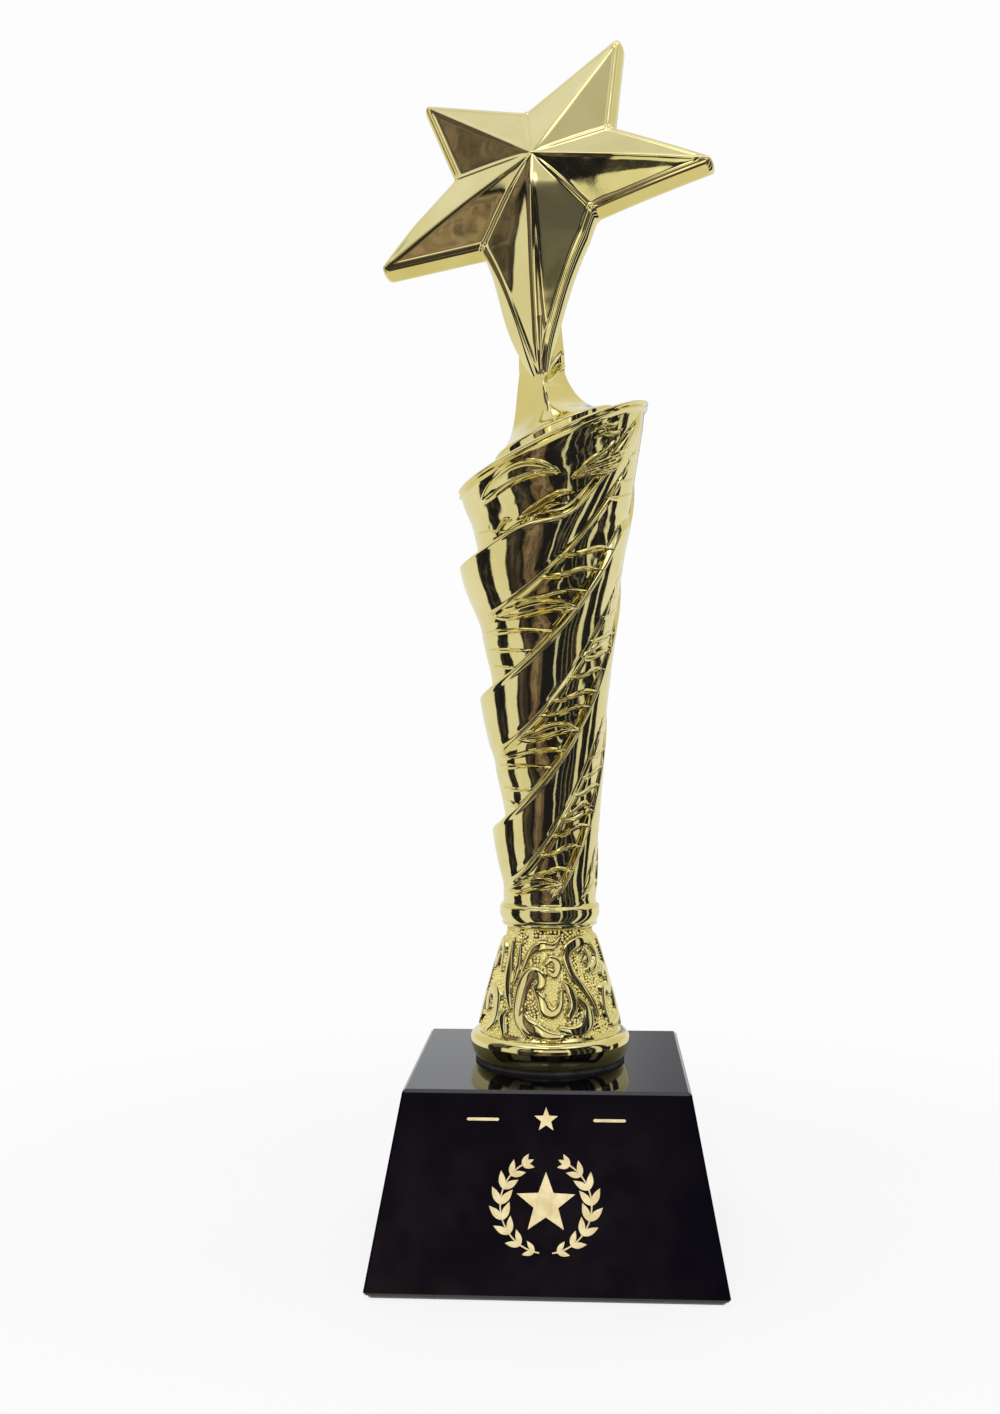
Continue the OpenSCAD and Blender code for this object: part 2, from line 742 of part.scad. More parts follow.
// The sections turn from the slanted rim to level, and move across to the stem
function crown_ring(s) = let (
    t = ease(0, 1.1 * flare_h, s[0]),
    slant = rim_slant * (1 - t),
    shift = skirt_shift + (stem_shift - skirt_shift) * t,
    back = 1 - stem_back_slope * pow(max(0, s[0] - flare_h) / (stem_h - flare_h), 1.6)
) [
    for (i = [0:crown_sides - 1])
        let (
            a = 360 * i / crown_sides,
            f = diamond(a, s[3]),
            x = shift + s[1] * f * cos(a) * cos(slant),
            y = s[2] * f * sin(a) * (sin(a) > 0 ? back : 1)
        )
        [x, y, rim_z + s[0] + x * tan(slant)]
];

// Slanted skirt that flows up into the stem
module crown_outside() {
    rings = [for (s = crown_sections) crown_ring(s)];
    last = len(rings) - 1;
    sides = [
        for (k = [0:last - 1], i = [0:crown_sides - 1])
            let (
                a = k * crown_sides + i,
                b = k * crown_sides + (i + 1) % crown_sides
            )
            each [[a, a + crown_sides, b + crown_sides], [a, b + crown_sides, b]]
    ];
    skirt_face = [for (i = [0:crown_sides - 1]) i];
    top_face = [for (i = [crown_sides - 1:-1:0]) last * crown_sides + i];
    polyhedron([for (r = rings) each r], concat(sides, [skirt_face, top_face]), convexity = 6);
}

// Plug below the skirt, cut to the slope of the rim
module plug()
    difference() {
        translate([0, 0, plug_z])
            cylinder(r = plug_r, h = plug_h + plug_r);
        translate([0, 0, rim_z + over])
            rotate([0, -rim_slant, 0])
                translate([-2 * skirt_r, -2 * skirt_r, 0])
                    cube([4 * skirt_r, 4 * skirt_r, 2 * skirt_r]);
    }

// Casting that closes the column and holds the star's lower arm in its cradle
module crown_stem()
    color(gold)
    difference() {
        union() {
            crown_outside();
            plug();
        }
        stand_star() star_solid(cradle_gap);
        dowel_hole();
        translate([0, 0, plug_z - over])
            cylinder(r = insert_r + tight_gap, h = insert_l + slip_gap + over);
    }

felt_pad();
base_block();
foot_gasket();
scroll_bell();
collar_ring();
column();
crown_stem();
star();
star_dowel();
stem_insert();
tie_rod();
rod_bush();
fibre_washer();
flat_washer();
spring_washer();
hex_nut();
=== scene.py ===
import math

import bmesh
import bpy
import numpy as np
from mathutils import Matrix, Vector


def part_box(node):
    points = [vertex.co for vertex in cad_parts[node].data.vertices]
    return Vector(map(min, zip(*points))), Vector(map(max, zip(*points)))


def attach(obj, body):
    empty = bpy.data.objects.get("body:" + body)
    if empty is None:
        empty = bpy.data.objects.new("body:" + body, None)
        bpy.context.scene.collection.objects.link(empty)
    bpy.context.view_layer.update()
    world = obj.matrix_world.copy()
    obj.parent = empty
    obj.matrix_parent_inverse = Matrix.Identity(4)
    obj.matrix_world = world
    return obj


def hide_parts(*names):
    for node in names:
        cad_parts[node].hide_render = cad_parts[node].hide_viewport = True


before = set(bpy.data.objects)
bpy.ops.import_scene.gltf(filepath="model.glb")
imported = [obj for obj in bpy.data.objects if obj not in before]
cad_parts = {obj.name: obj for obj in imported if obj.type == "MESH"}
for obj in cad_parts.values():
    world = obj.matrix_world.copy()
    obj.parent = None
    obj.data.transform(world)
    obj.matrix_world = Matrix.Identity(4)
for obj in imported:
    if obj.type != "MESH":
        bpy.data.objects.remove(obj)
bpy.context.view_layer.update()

# FELT SHEET
# Black wool felt, 1 mm thick, cut a little smaller than the crystal block and glued to its underside.
# It keeps the glass off the table and covers the recess of the nut.
MM = 0.001
NEAR = 2e-5  # points of a hand-built mesh that lie nearer than this, in metres, are one


class Field:
    """A socket in a node tree. Arithmetic on it adds Math nodes to that tree."""

    def __init__(self, tree, socket=None):
        self.tree = tree
        self.socket = socket

    def node(self, kind, settings=(), inputs=(), output=0):
        """A new node: its settings first, then the values or links of its inputs. Gives back one output."""
        node = self.tree.nodes.new(kind)
        for key, value in dict(settings).items():
            if key == "points":
                curve = node.mapping.curves[0]
                for i, (x, y) in enumerate(value):
                    point = curve.points[i] if i < 2 else curve.points.new(x, y)
                    point.location = (x, y)
                for point in curve.points:
                    point.handle_type = "VECTOR"
                node.mapping.use_clip = False
                node.mapping.update()
            else:
                setattr(node, key, value)
        for key, value in dict(inputs).items():
            if isinstance(value, Field):
                self.tree.links.new(value.socket, node.inputs[key])
            else:
                node.inputs[key].default_value = value
        return Field(self.tree, node.outputs[output])

    def math(self, operation, *values):
        return self.node("ShaderNodeMath", {"operation": operation}, dict(enumerate(values)))

    def __add__(self, other): return self.math("ADD", self, other)
    def __radd__(self, other): return self.math("ADD", other, self)
    def __sub__(self, other): return self.math("SUBTRACT", self, other)
    def __rsub__(self, other): return self.math("SUBTRACT", other, self)
    def __mul__(self, other): return self.math("MULTIPLY", self, other)
    def __rmul__(self, other): return self.math("MULTIPLY", other, self)
    def __truediv__(self, other): return self.math("DIVIDE", self, other)
    def __pow__(self, other): return self.math("POWER", self, other)
    def __neg__(self): return self.math("MULTIPLY", self, -1.0)
    def sin(self): return self.math("SINE", self)
    def cos(self): return self.math("COSINE", self)
    def least(self, other): return self.math("MINIMUM", self, other)
    def most(self, other): return self.math("MAXIMUM", self, other)

    def ease(self, low, high):
        """Smooth change from 0 at low to 1 at high."""
        return self.node("ShaderNodeMapRange", {"interpolation_type": "SMOOTHSTEP"},
                         {"Value": self, "From Min": low, "From Max": high})

    def parts(self):
        """X, Y and Z of a vector."""
        return [self.node("ShaderNodeSeparateXYZ", (), {0: self}, i) for i in range(3)]

    def noise(self, scale, detail=2.0, rough=0.5):
        return self.node("ShaderNodeTexNoise", (),
                         {"Vector": self, "Scale": scale, "Detail": detail, "Roughness": rough})

    def blend(self, low, high):
        """Colour between low and high, with this value as the share of high."""
        return self.node("ShaderNodeMix", {"data_type": "RGBA"}, {0: self, 6: low, 7: high}, 2)


def finish(name, constants):
    """A new material with a Principled shader, its constant sockets, and its Object coordinates."""
    material = bpy.data.materials.new(name)
    material.use_nodes = True
    shader = material.node_tree.nodes["Principled BSDF"]
    for key, value in constants.items():
        shader.inputs[key].default_value = value
    place = Field(material.node_tree).node("ShaderNodeTexCoord", (), (), "Object")
    return material, shader, place


def wear(shader, **sockets):
    """Links varying values to the shader. A bump is (height, distance in metres, strength)."""
    tree = shader.id_data
    for key, value in sockets.items():
        if key == "bump":
            height, distance, strength = value
            value = height.node("ShaderNodeBump", (),
                                {"Height": height, "Distance": distance, "Strength": strength})
            key = "Normal"
        tree.links.new(value.socket, shader.inputs[key.replace("_", " ")])


def mesh_of(name, points, faces):
    """A mesh from points in millimetres."""
    mesh = bpy.data.meshes.new(name)
    mesh.from_pydata((np.asarray(points, float) * MM).tolist(), [], np.asarray(faces).tolist())
    return mesh


def put(name, data):
    """A new object in the scene with this data."""
    thing = bpy.data.objects.new(name, data)
    bpy.context.scene.collection.objects.link(thing)
    return thing


def place_piece(name, mesh, material, crease=None):
    """A smooth-shaded piece from a mesh that is already in place. Edges steeper than crease stay crisp."""
    mesh.polygons.foreach_set("use_smooth", [True] * len(mesh.polygons))
    if crease:
        mesh.set_sharp_from_angle(angle=math.radians(crease))
    mesh.materials.clear()
    mesh.materials.append(material)
    mesh.update()
    return put(name, mesh)


def make_piece(name, points, faces, material, crease=None):
    """A smooth-shaded piece from points in millimetres."""
    return place_piece(name, mesh_of(name, points, faces), material, crease)


def grid_faces(rows, columns):
    """Quads of a grid stored row by row and closed round its columns."""
    row, column = np.meshgrid(np.arange(rows - 1), np.arange(columns), indexing="ij")
    a = (row * columns + column).ravel()
    b = (row * columns + (column + 1) % columns).ravel()
    return np.stack([a, b, b + columns, a + columns], 1)


def stacked(outline, section, middle=0.0):
    """Rings of an outline, each drawn to a share of its size about the middle and put at a level."""
    return np.concatenate([
        np.column_stack([middle + (outline - middle) * share, np.full(len(outline), level)])
        for share, level in section])


felt_black, shader, place = finish(
    "felt_black", {"Roughness": 0.95, "Sheen Weight": 0.6, "Sheen Roughness": 0.6})
fibres = place.noise(2600.0, 4.0, 0.7)
tufts = place.noise(260.0, 2.0)
wear(shader, Base_Color=(fibres * 0.6 + tufts * 0.4).blend((0.006, 0.006, 0.007, 1), (0.05, 0.05, 0.055, 1)),
     bump=(fibres, 0.0004, 0.7))

felt_low, felt_high = (np.array(corner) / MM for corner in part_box("felt_pad"))
felt_half = (felt_high[0] - felt_low[0]) / 2
felt_corner, corner_steps = 1.2, 8
corner_reach = (felt_half - felt_corner) * math.sqrt(2)
felt_ring = []
for turn in range(4):
    centre = math.radians(45 + 90 * turn)
    for step in range(corner_steps + 1):
        angle = math.radians(90 * turn + 90 * step / corner_steps)
        felt_ring.append((corner_reach * math.cos(centre) + felt_corner * math.cos(angle),
                          corner_reach * math.sin(centre) + felt_corner * math.sin(angle)))
felt_ring = np.array(felt_ring)
# Shares of the outline and of the thickness: flat below, a cut edge with soft corners, flat above.
felt_section = np.array([
    (1e-4, 0.0), (0.96, 0.0), (0.996, 0.06), (1.0, 0.3), (1.0, 0.85), (0.996, 1.0), (1e-4, 1.0)])
felt = make_piece("felt_sheet", stacked(felt_ring, felt_section * (1, felt_high[2])),
                  grid_faces(len(felt_section), len(felt_ring)), felt_black, 50)
felt_edit = bmesh.new()
felt_edit.from_mesh(felt.data)
bmesh.ops.remove_doubles(felt_edit, verts=felt_edit.verts, dist=NEAR)
felt_edit.to_mesh(felt.data)
felt_edit.free()
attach(felt, "root")
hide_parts("felt_pad")

# CRYSTAL BLOCK
# Truncated pyramid of black crystal, cast solid, ground flat and polished to a mirror, with narrow bevels.
# Its CAD shape is the real one. The finish has the faint haze of handling and a little dust on the deck.
def dress(node, material):
    """Gives a CAD node's object its finish."""
    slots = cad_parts[node].data.materials
    slots.clear()
    slots.append(material)


crystal, shader, place = finish("black_crystal", {"IOR": 1.42})
haze = place.noise(38.0, 3.0, 0.6).ease(0.45, 0.75)
specks = place.noise(1500.0, 1.0).ease(0.76, 0.8)
deck = place.parts()[2].ease(0.0546, 0.0549)
wear(shader, Base_Color=(specks * deck * 0.25).blend((0.0025, 0.002, 0.004, 1), (0.2, 0.2, 0.2, 1)),
     Roughness=haze * 0.03 + specks * deck * 0.2 + 0.012)
dress("base_block", crystal)

# GILDED INLAY
# Ornament sand-cut into the front face of the crystal and filled with gold paint: two short rules, a small
# star, and a laurel wreath round a larger star. The dried paint stands a hair above the glass.
block_z, block_h, block_half_low, block_half_high = 1.0, 54.0, 50.0, 40.0
face_foot = Vector((0, -block_half_low * MM, block_z * MM))
face_lean = math.atan2(block_half_low - block_half_high, block_h)
face_up = Vector((0, math.sin(face_lean), math.cos(face_lean)))
face_out = Vector((0, -math.cos(face_lean), math.sin(face_lean)))
paint_root, paint_edge, paint_crown = -0.1, 0.07, 0.22

gold_paint, shader, place = finish("gold_paint", {"Metallic": 0.25})
grain = place.noise(2200.0, 3.0, 0.6)
pooling = place.noise(300.0, 2.0)
tone = (pooling * 0.6 + grain * 0.4).ease(0.3, 0.7)
wear(shader, Base_Color=tone.blend((0.70, 0.56, 0.28, 1), (0.92, 0.80, 0.48, 1)),
     Roughness=grain * 0.25 + 0.3, bump=(grain, 0.00006, 0.6))


def new_tree(name, sizes):
    """A geometry tree with a named input for each size, those inputs, and what adds a node to it."""
    tree = bpy.data.node_groups.new(name, "GeometryNodeTree")
    tree.interface.new_socket(name="Geometry", in_out="INPUT", socket_type="NodeSocketGeometry")
    tree.interface.new_socket(name="Geometry", in_out="OUTPUT", socket_type="NodeSocketGeometry")
    for label, value in sizes.items():
        kind = "NodeSocketInt" if isinstance(value, int) else "NodeSocketFloat"
        tree.interface.new_socket(name=label, in_out="INPUT", socket_type=kind)
    given = tree.nodes.new("NodeGroupInput")
    size = {socket.name: Field(tree, socket) for socket in given.outputs if socket.name}
    return tree, size, Field(tree).node


def grow(tree, sizes, shape, material, start=None):
    """Ends the tree, runs it on the start mesh and gives back the plain mesh it makes."""
    shape = shape.node("GeometryNodeRealizeInstances", (), {"Geometry": shape})
    shape = shape.node("GeometryNodeSetMaterial", (), {"Geometry": shape, "Material": material})
    tree.links.new(shape.socket, tree.nodes.new("NodeGroupOutput").inputs[0])
    holder = put(tree.name, start or bpy.data.meshes.new(tree.name))
    modifier = holder.modifiers.new("build", "NODES")
    modifier.node_group = tree
    for item in tree.interface.items_tree:
        if item.in_out == "INPUT" and item.name in sizes:
            modifier[item.identifier] = sizes[item.name]
    made = holder.evaluated_get(bpy.context.evaluated_depsgraph_get())
    mesh = bpy.data.meshes.new_from_object(made)
    holder.modifiers.remove(modifier)
    bpy.data.objects.remove(holder)
    return mesh


def join_shapes(shapes):
    """One geometry from several."""
    joined = shapes[0].node("GeometryNodeJoinGeometry")
    for shape in shapes:
        joined.tree.links.new(shape.socket, joined.socket.node.inputs[0])
    return joined


# One laurel leaf, pointing along X from its root, with a raised midrib.
laurel_long, laurel_half, laurel_steps = 5.0, 0.95, 8
stations = np.linspace(0, 1, laurel_steps)
leaf_edge = laurel_half * np.sin(math.pi * stations ** 0.85)
leaf_section = ((-1, paint_root), (1, paint_root), (1, paint_edge), (0, paint_crown), (-1, paint_edge))
leaf_sides = [np.column_stack([stations * laurel_long, leaf_edge * across, np.full(laurel_steps, out)])
              for across, out in leaf_section]
laurel_leaf = mesh_of("laurel_leaf", np.stack(leaf_sides, 1).reshape(-1, 3),
                      grid_faces(laurel_steps, len(leaf_section)))

wreath_sizes = {"Pairs": 8, "Ring": 12.5, "Height": 24.5, "From": math.radians(-76), "To": math.radians(58),
                "Spread": math.radians(33), "Inward": 0.12, "Twig": 0.22, "Twig End": 0.1}
tree, size, add = new_tree("laurel_wreath", wreath_sizes)
along = add("GeometryNodeInputIndex") / (size["Pairs"] - 1)
swept = size["From"] + (size["To"] - size["From"]) * along
leaf_scale = 0.72 + 0.34 * (along * math.pi).sin()
sprigs = []
for hand in (1, -1):
    angle = math.pi / 2 + hand * (swept - math.pi / 2)
    spot = angle.node("ShaderNodeCombineXYZ", (), {
        0: size["Ring"] * angle.cos() * MM, 1: (size["Ring"] * angle.sin() + size["Height"]) * MM})
    spots = spot.node("GeometryNodePoints", (), {"Count": size["Pairs"], "Position": spot})
    for side in (-1, 1, 0):
        heading = math.pi / 2 + hand * (swept + size["Inward"]) + side * size["Spread"]
        heading = heading.node("FunctionNodeEulerToRotation", (), {
            0: heading.node("ShaderNodeCombineXYZ", (), {2: heading})})
        # A pair at every spot, and one leaf that ends the sprig.
        chosen = along.math("GREATER_THAN", along, 0.99 if side == 0 else -1.0)
        sprigs.append(spots.node("GeometryNodeInstanceOnPoints", (), {
            "Points": spots, "Instance": size["Geometry"], "Selection": chosen, "Rotation": heading,
            "Scale": leaf_scale}))
    arc = add("GeometryNodeCurveArc", {"mode": "RADIUS"}, {
        "Resolution": 40, "Radius": size["Ring"] * MM,
        "Start Angle": math.pi / 2 + hand * (size["From"] - math.pi / 2 - size["Twig End"]),
        "Sweep Angle": hand * (size["To"] - size["From"] + size["Twig End"])})
    lifted = arc.node("GeometryNodeSetPosition", (), {"Geometry": arc, "Offset": arc.node(
        "ShaderNodeCombineXYZ", (), {1: size["Height"] * MM})})
    twig = arc.node("GeometryNodeCurvePrimitiveCircle", (), {"Resolution": 8, "Radius": size["Twig"] * MM})
    sprigs.append(arc.node("GeometryNodeCurveToMesh", (), {
        "Curve": lifted, "Profile Curve": twig, "Fill Caps": True}))
wreath = grow(tree, wreath_sizes, join_shapes(sprigs), gold_paint, laurel_leaf)

inlay_edit = bmesh.new()
inlay_edit.from_mesh(wreath)


def plate(outline):
    """Adds a low plate on an outline in millimetres: a short wall, then a roof that rises to the middle."""
    outline = np.array(outline)
    section = ((0.002, paint_root), (1, paint_root), (1, paint_edge), (0.002, paint_crown))
    points = stacked(outline, section, outline.mean(0))
    inlay_edit.from_mesh(mesh_of("plate", points, grid_faces(len(section), len(outline))))


def star_outline(centre_height, tip_r):
    """Outline of a plain five-pointed star standing on two tips."""
    corners = [(tip_r * reach, math.radians(36 * k)) for k, reach in enumerate((1, 0.42) * 5)]
    return [(r * math.sin(turn), centre_height + r * math.cos(turn)) for r, turn in corners]


rule_height, rule_from, rule_to, rule_half = 47.2, 13.4, 21.5, 0.4
small_star_r, large_star_height, large_star_r = 3.4, 25.0, 8.4
plate(star_outline(rule_height, small_star_r))
plate(star_outline(large_star_height, large_star_r))
for left in (-rule_to, rule_from):
    ends = [(left + rule_to - rule_from, turn) for turn in range(-90, 91, 30)] \
        + [(left, turn) for turn in range(90, 271, 30)]
    plate([(across + rule_half * math.cos(math.radians(turn)),
            rule_height + rule_half * math.sin(math.radians(turn))) for across, turn in ends])
bmesh.ops.remove_doubles(inlay_edit, verts=inlay_edit.verts, dist=NEAR)
for vert in inlay_edit.verts:
    vert.co = face_foot + Vector((vert.co.x, 0, 0)) + face_up * vert.co.y + face_out * vert.co.z
bmesh.ops.recalc_face_normals(inlay_edit, faces=inlay_edit.faces)
inlay_mesh = bpy.data.meshes.new("gilded_inlay")
inlay_edit.to_mesh(inlay_mesh)
inlay_edit.free()
inlay = place_piece("gilded_inlay", inlay_mesh, gold_paint, 30)
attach(inlay, "root")

# FOOT GASKET AND FASTENING
# A zinc plated steel rod with rolled threads clamps the whole trophy: it screws into the crown's insert and
# runs down through the castings and the crystal to a nut in the recess underneath.
# A thin rubber gasket under the bell, a nylon bush in the hole and a fibre washer keep metal off the crystal.
def plain_finish(name, dark, light, grain, rough, depth, **constants):
    """A mottled finish with a fine surface: grain per metre, depth of its bumps in metres."""
    material, shader, place = finish(name, constants)
    mottle = place.noise(grain / 8, 2.0)
    fine = place.noise(grain, 3.0, 0.65)
    wear(shader, Base_Color=(mottle * 0.6 + fine * 0.4).ease(0.3, 0.7).blend((*dark, 1), (*light, 1)),
         Roughness=fine * 0.2 + (rough - 0.1), bump=(fine, depth, 0.5))
    return material


SEAM = 2e-6  # points of a mesh from a node tree that lie nearer than this, in metres, are one


def shaped(sheet, position):
    """The sheet with its points moved to their positions, and joined where they meet along a seam."""
    moved = sheet.node("GeometryNodeSetPosition", (), {"Geometry": sheet, "Position": position})
    return moved.node("GeometryNodeMergeByDistance", (), {"Geometry": moved, "Distance": SEAM})


rubber = plain_finish("gasket_rubber", (0.012, 0.012, 0.013), (0.04, 0.04, 0.042), 1800.0, 0.75, 0.00010)
zinc = plain_finish("zinc_plating", (0.48, 0.49, 0.51), (0.68, 0.69, 0.71), 900.0, 0.34, 0.00004,
                    Metallic=1.0)
nylon = plain_finish("nylon", (0.74, 0.73, 0.67), (0.84, 0.83, 0.78), 1200.0, 0.5, 0.00005)
fibre = plain_finish("vulcanised_fibre", (0.28, 0.08, 0.05), (0.46, 0.17, 0.10), 1500.0, 0.8, 0.00010)
brass = plain_finish("turned_brass", (0.55, 0.40, 0.15), (0.72, 0.56, 0.26), 1100.0, 0.3, 0.00004,
                     Metallic=1.0)
fastening = {"foot_gasket": rubber, "rod_bush": nylon, "fibre_washer": fibre, "flat_washer": zinc,
             "spring_washer": zinc, "hex_nut": zinc, "stem_insert": brass}
for node, material in fastening.items():
    dress(node, material)

rod_sizes = {"Sides": 36, "Bottom": 8.0, "Low Thread": 26.0, "Plain": 171.0, "High Thread": 20.0,
             "Radius": 4.0, "Pitch": 1.25, "Depth": 0.65, "Run-out": 0.6, "Chamfer": 0.9, "Rows Per Turn": 6}
threaded = rod_sizes["Low Thread"] + rod_sizes["High Thread"]
thread_rows = round(threaded / rod_sizes["Pitch"] * rod_sizes["Rows Per Turn"])
tree, size, add = new_tree("threaded_rod", rod_sizes)
strip = add("GeometryNodeMeshGrid", (), {
    "Size X": 1.0, "Size Y": float(thread_rows + 3), "Vertices X": size["Sides"] + 1,
    "Vertices Y": thread_rows + 4})
along_x, along_y, _ = add("GeometryNodeInputPosition").parts()
bearing = along_x * (2 * math.pi)
row = along_y + (thread_rows + 3) / 2 - 1
step = size["Pitch"] / size["Rows Per Turn"]
low_rows = size["Low Thread"] / step
climb = row.most(0.0).least(low_rows) * step \
    + (row - low_rows - 1).most(0.0).least(size["High Thread"] / step) * step
z = size["Bottom"] + climb + size["Plain"] * (row - low_rows).most(0.0).least(1.0)
turns = z / size["Pitch"] - bearing / (2 * math.pi)
ridge = turns.math("PINGPONG", turns, 0.5) * 2
plain = (z - size["Bottom"] - size["Low Thread"] + size["Run-out"]).ease(0.0, size["Run-out"]) \
    - (z - size["Bottom"] - size["Low Thread"] - size["Plain"]).ease(0.0, size["Run-out"])
length = size["Low Thread"] + size["Plain"] + size["High Thread"]
from_end = (z - size["Bottom"]).least(size["Bottom"] + length - z)
radius = size["Radius"] - size["Depth"] * (1 - plain) * (1.2 - ridge * 1.4).most(0.0).least(1.0)
radius = radius.least(size["Radius"] - size["Chamfer"] + from_end)
capped = row.math("LESS_THAN", row, -0.5) + row.math("GREATER_THAN", row, thread_rows + 1.5)
radius = radius * (1 - capped)
spot = bearing.node("ShaderNodeCombineXYZ", (), {
    0: radius * bearing.cos() * MM, 1: radius * bearing.sin() * MM, 2: z * MM})
rod = place_piece("threaded_rod", grow(tree, rod_sizes, shaped(strip, spot), zinc), zinc, 40)
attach(rod, "root")
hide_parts("tie_rod")

# SCROLL BELL
# Hollow casting of zinc alloy, polished and plated bright pale gold: raised scrolls on a ground of fine
# granules, over a plain foot ring that draws in below. It stands on a thin gasket and carries the collar.
def gilding(name, waviness=0.35, hammered=None):
    """Bright plating: slight casting waves under the polish, fine wiping marks, uneven tone.
    Where the attribute named by hammered is 1, the surface is dimpled."""
    material, shader, place = finish(name, {"Metallic": 1.0})
    tone = place.noise(60.0, 2.0)
    wipe = place.noise(420.0, 3.0, 0.65)
    swell = place.noise(110.0, 1.0)
    height = swell + wipe * 0.05
    if hammered:
        dimpled = place.node("ShaderNodeAttribute", {"attribute_name": hammered}, (), "Fac")
        height = height + dimpled * place.noise(190.0, 1.0) * 1.1
    wear(shader, Base_Color=tone.ease(0.3, 0.7).blend((0.80, 0.70, 0.30, 1), (0.86, 0.765, 0.36, 1)),
         Roughness=wipe.ease(0.4, 0.8) * 0.05 + 0.045, bump=(height, 0.0003, waviness))
    return material


def curve(start, pull, end, steps):
    """Points from start to end along a curve drawn towards pull."""
    t = np.linspace(0, 1, steps + 1)[:, None]
    start, pull, end = (np.array(p, float) for p in (start, pull, end))
    return start * (1 - t) ** 2 + pull * 2 * t * (1 - t) + end * t ** 2


def lathe(profile, sides):
    """Points and faces of a closed (radius, height) profile turned about the axis, going up outside."""
    turn = np.linspace(0, 2 * math.pi, sides, endpoint=False)
    profile = np.concatenate([profile, profile[:1]])
    points = np.stack([np.outer(profile[:, 0], np.cos(turn)), np.outer(profile[:, 0], np.sin(turn)),
                       np.outer(profile[:, 1], np.ones(sides))], 2)
    faces = grid_faces(len(profile), sides)
    faces = np.where(faces >= (len(profile) - 1) * sides, faces - (len(profile) - 1) * sides, faces)
    return points[:-1].reshape(-1, 3), faces


gold = gilding("pale_gold")
rod_hole_r = 5.0
foot_z, foot_r, foot_tuck, foot_belly, foot_lip, foot_steps = 55.8, 24.0, 2.2, 5.0, 2.1, 14
bell_z, bell_h, bell_bottom_r, bell_top_r, collar_z = 64.2, 31.0, 21.3, 12.5, 95.2
flank_rows, bell_sides, flank_swell = 112, 420, 0.3
flank = curve((bell_bottom_r, bell_z),
              ((bell_bottom_r + bell_top_r) / 2 + flank_swell, bell_z + bell_h * 0.56),
              (bell_top_r, collar_z), flank_rows - 1)
foot_low = curve((foot_r - foot_tuck, foot_z), (foot_r - 0.6, foot_z + 1.8),
                 (foot_r - 0.05, foot_z + foot_belly), foot_steps)
foot_high = curve((foot_r, foot_z + foot_belly + 0.2), (foot_r + 0.05, bell_z - 0.75),
                  (foot_r - foot_lip, bell_z), foot_steps)
bell_profile = np.concatenate([flank, [[rod_hole_r, collar_z], [rod_hole_r, foot_z]], foot_low, foot_high])
bell_points, bell_faces = lathe(bell_profile, bell_sides)


def smooth_path(points, steps):
    """A smooth path through points, with this many steps between each two."""
    points = np.array(points, float)
    padded = np.concatenate([2 * points[:1] - points[1:2], points, 2 * points[-1:] - points[-2:-1]])
    t = np.linspace(0, 1, steps, endpoint=False)[:, None]
    pieces = [(2 * b + (c - a) * t + (2 * a - 5 * b + 4 * c - d) * t ** 2
               + (3 * b - a - 3 * c + d) * t ** 3) / 2
              for a, b, c, d in zip(padded, padded[1:], padded[2:], padded[3:])]
    return np.concatenate(pieces + [points[-1:]])


# Each stroke: points of (bearing, height), then its width at the start, the middle and the end.
# The set covers half the bell and is cast twice.
strokes = [
    ([(-16, 65.5), (-26, 70.5), (-27, 75), (-24.5, 80), (-17, 83), (-9, 82.4), (-7.5, 80.2), (-12, 79.6)],
     1.2, 3.4, 2.0),
    ([(-11.4, 78.0), (-6.5, 76), (-3, 73.3), (4, 72.2), (10.5, 74.5), (12.5, 78.6)], 1.4, 2.6, 1.0),
    ([(-24, 73.5), (-20.5, 70), (-9.5, 67.4), (4, 65.9), (17, 66.4)], 1.0, 3.0, 1.2),
    ([(45, 83.6), (58, 85), (64, 88), (57, 91.2), (44, 92), (27, 90.8), (20, 88.6), (20.3, 86.4), (25, 82.6),
      (36.5, 78.4), (44, 74.5), (46, 71)], 1.4, 2.6, 1.2),
    ([(36, 89), (44, 89.4), (49, 87.6), (44, 86.2)], 1.2, 2.0, 1.8),
    ([(27, 76.6), (36, 73), (33, 68.4), (22, 67.2), (11, 67.9)], 1.0, 2.8, 1.4),
    ([(-28, 84), (-21.5, 89), (-8, 91), (6, 91), (15, 93.2)], 1.0, 2.6, 1.0),
    ([(-50, 91.6), (-46, 85), (-42, 79), (-35, 73.5)], 1.0, 2.8, 1.4),
    ([(90, 91), (86, 86), (84, 80), (88, 74), (80, 69), (64, 67.5)], 1.0, 2.8, 1.4),
    ([(66, 82), (74, 84), (78, 80), (72, 77), (62, 78), (57, 73), (60, 69)], 1.8, 2.4, 1.0),
    ([(-3, 86), (4, 87.5), (10, 85.5), (6, 83), (1, 84)], 1.2, 2.2, 1.6),
    ([(-60, 66), (-51, 69.5), (-54, 75), (-64, 77.5), (-71, 75), (-67, 72)], 1.2, 2.8, 2.0),
    ([(-58, 83), (-64, 89), (-75, 91), (-82, 87.5), (-75, 84.5), (-71, 87)], 1.2, 2.6, 1.8),
    ([(-88, 66), (-82, 70), (-84, 75)], 1.2, 2.4, 1.0),
    ([(-38, 66), (-42, 70), (-39, 72)], 1.4, 2.2, 1.4),
    ([(14, 81), (20, 79), (23, 74.5), (18, 71.5)], 0.9, 2.0, 1.6),
    ([(-36, 80), (-33, 85), (-36, 91)], 0.9, 1.8, 0.9),
]
spread, stroke_wide, stroke_steps = 17.0, 1.5, 10
scroll_high, ground_sunk, plain_edge = 1.35, 0.55, 1.2
flank_points = bell_points[:flank_rows * bell_sides]
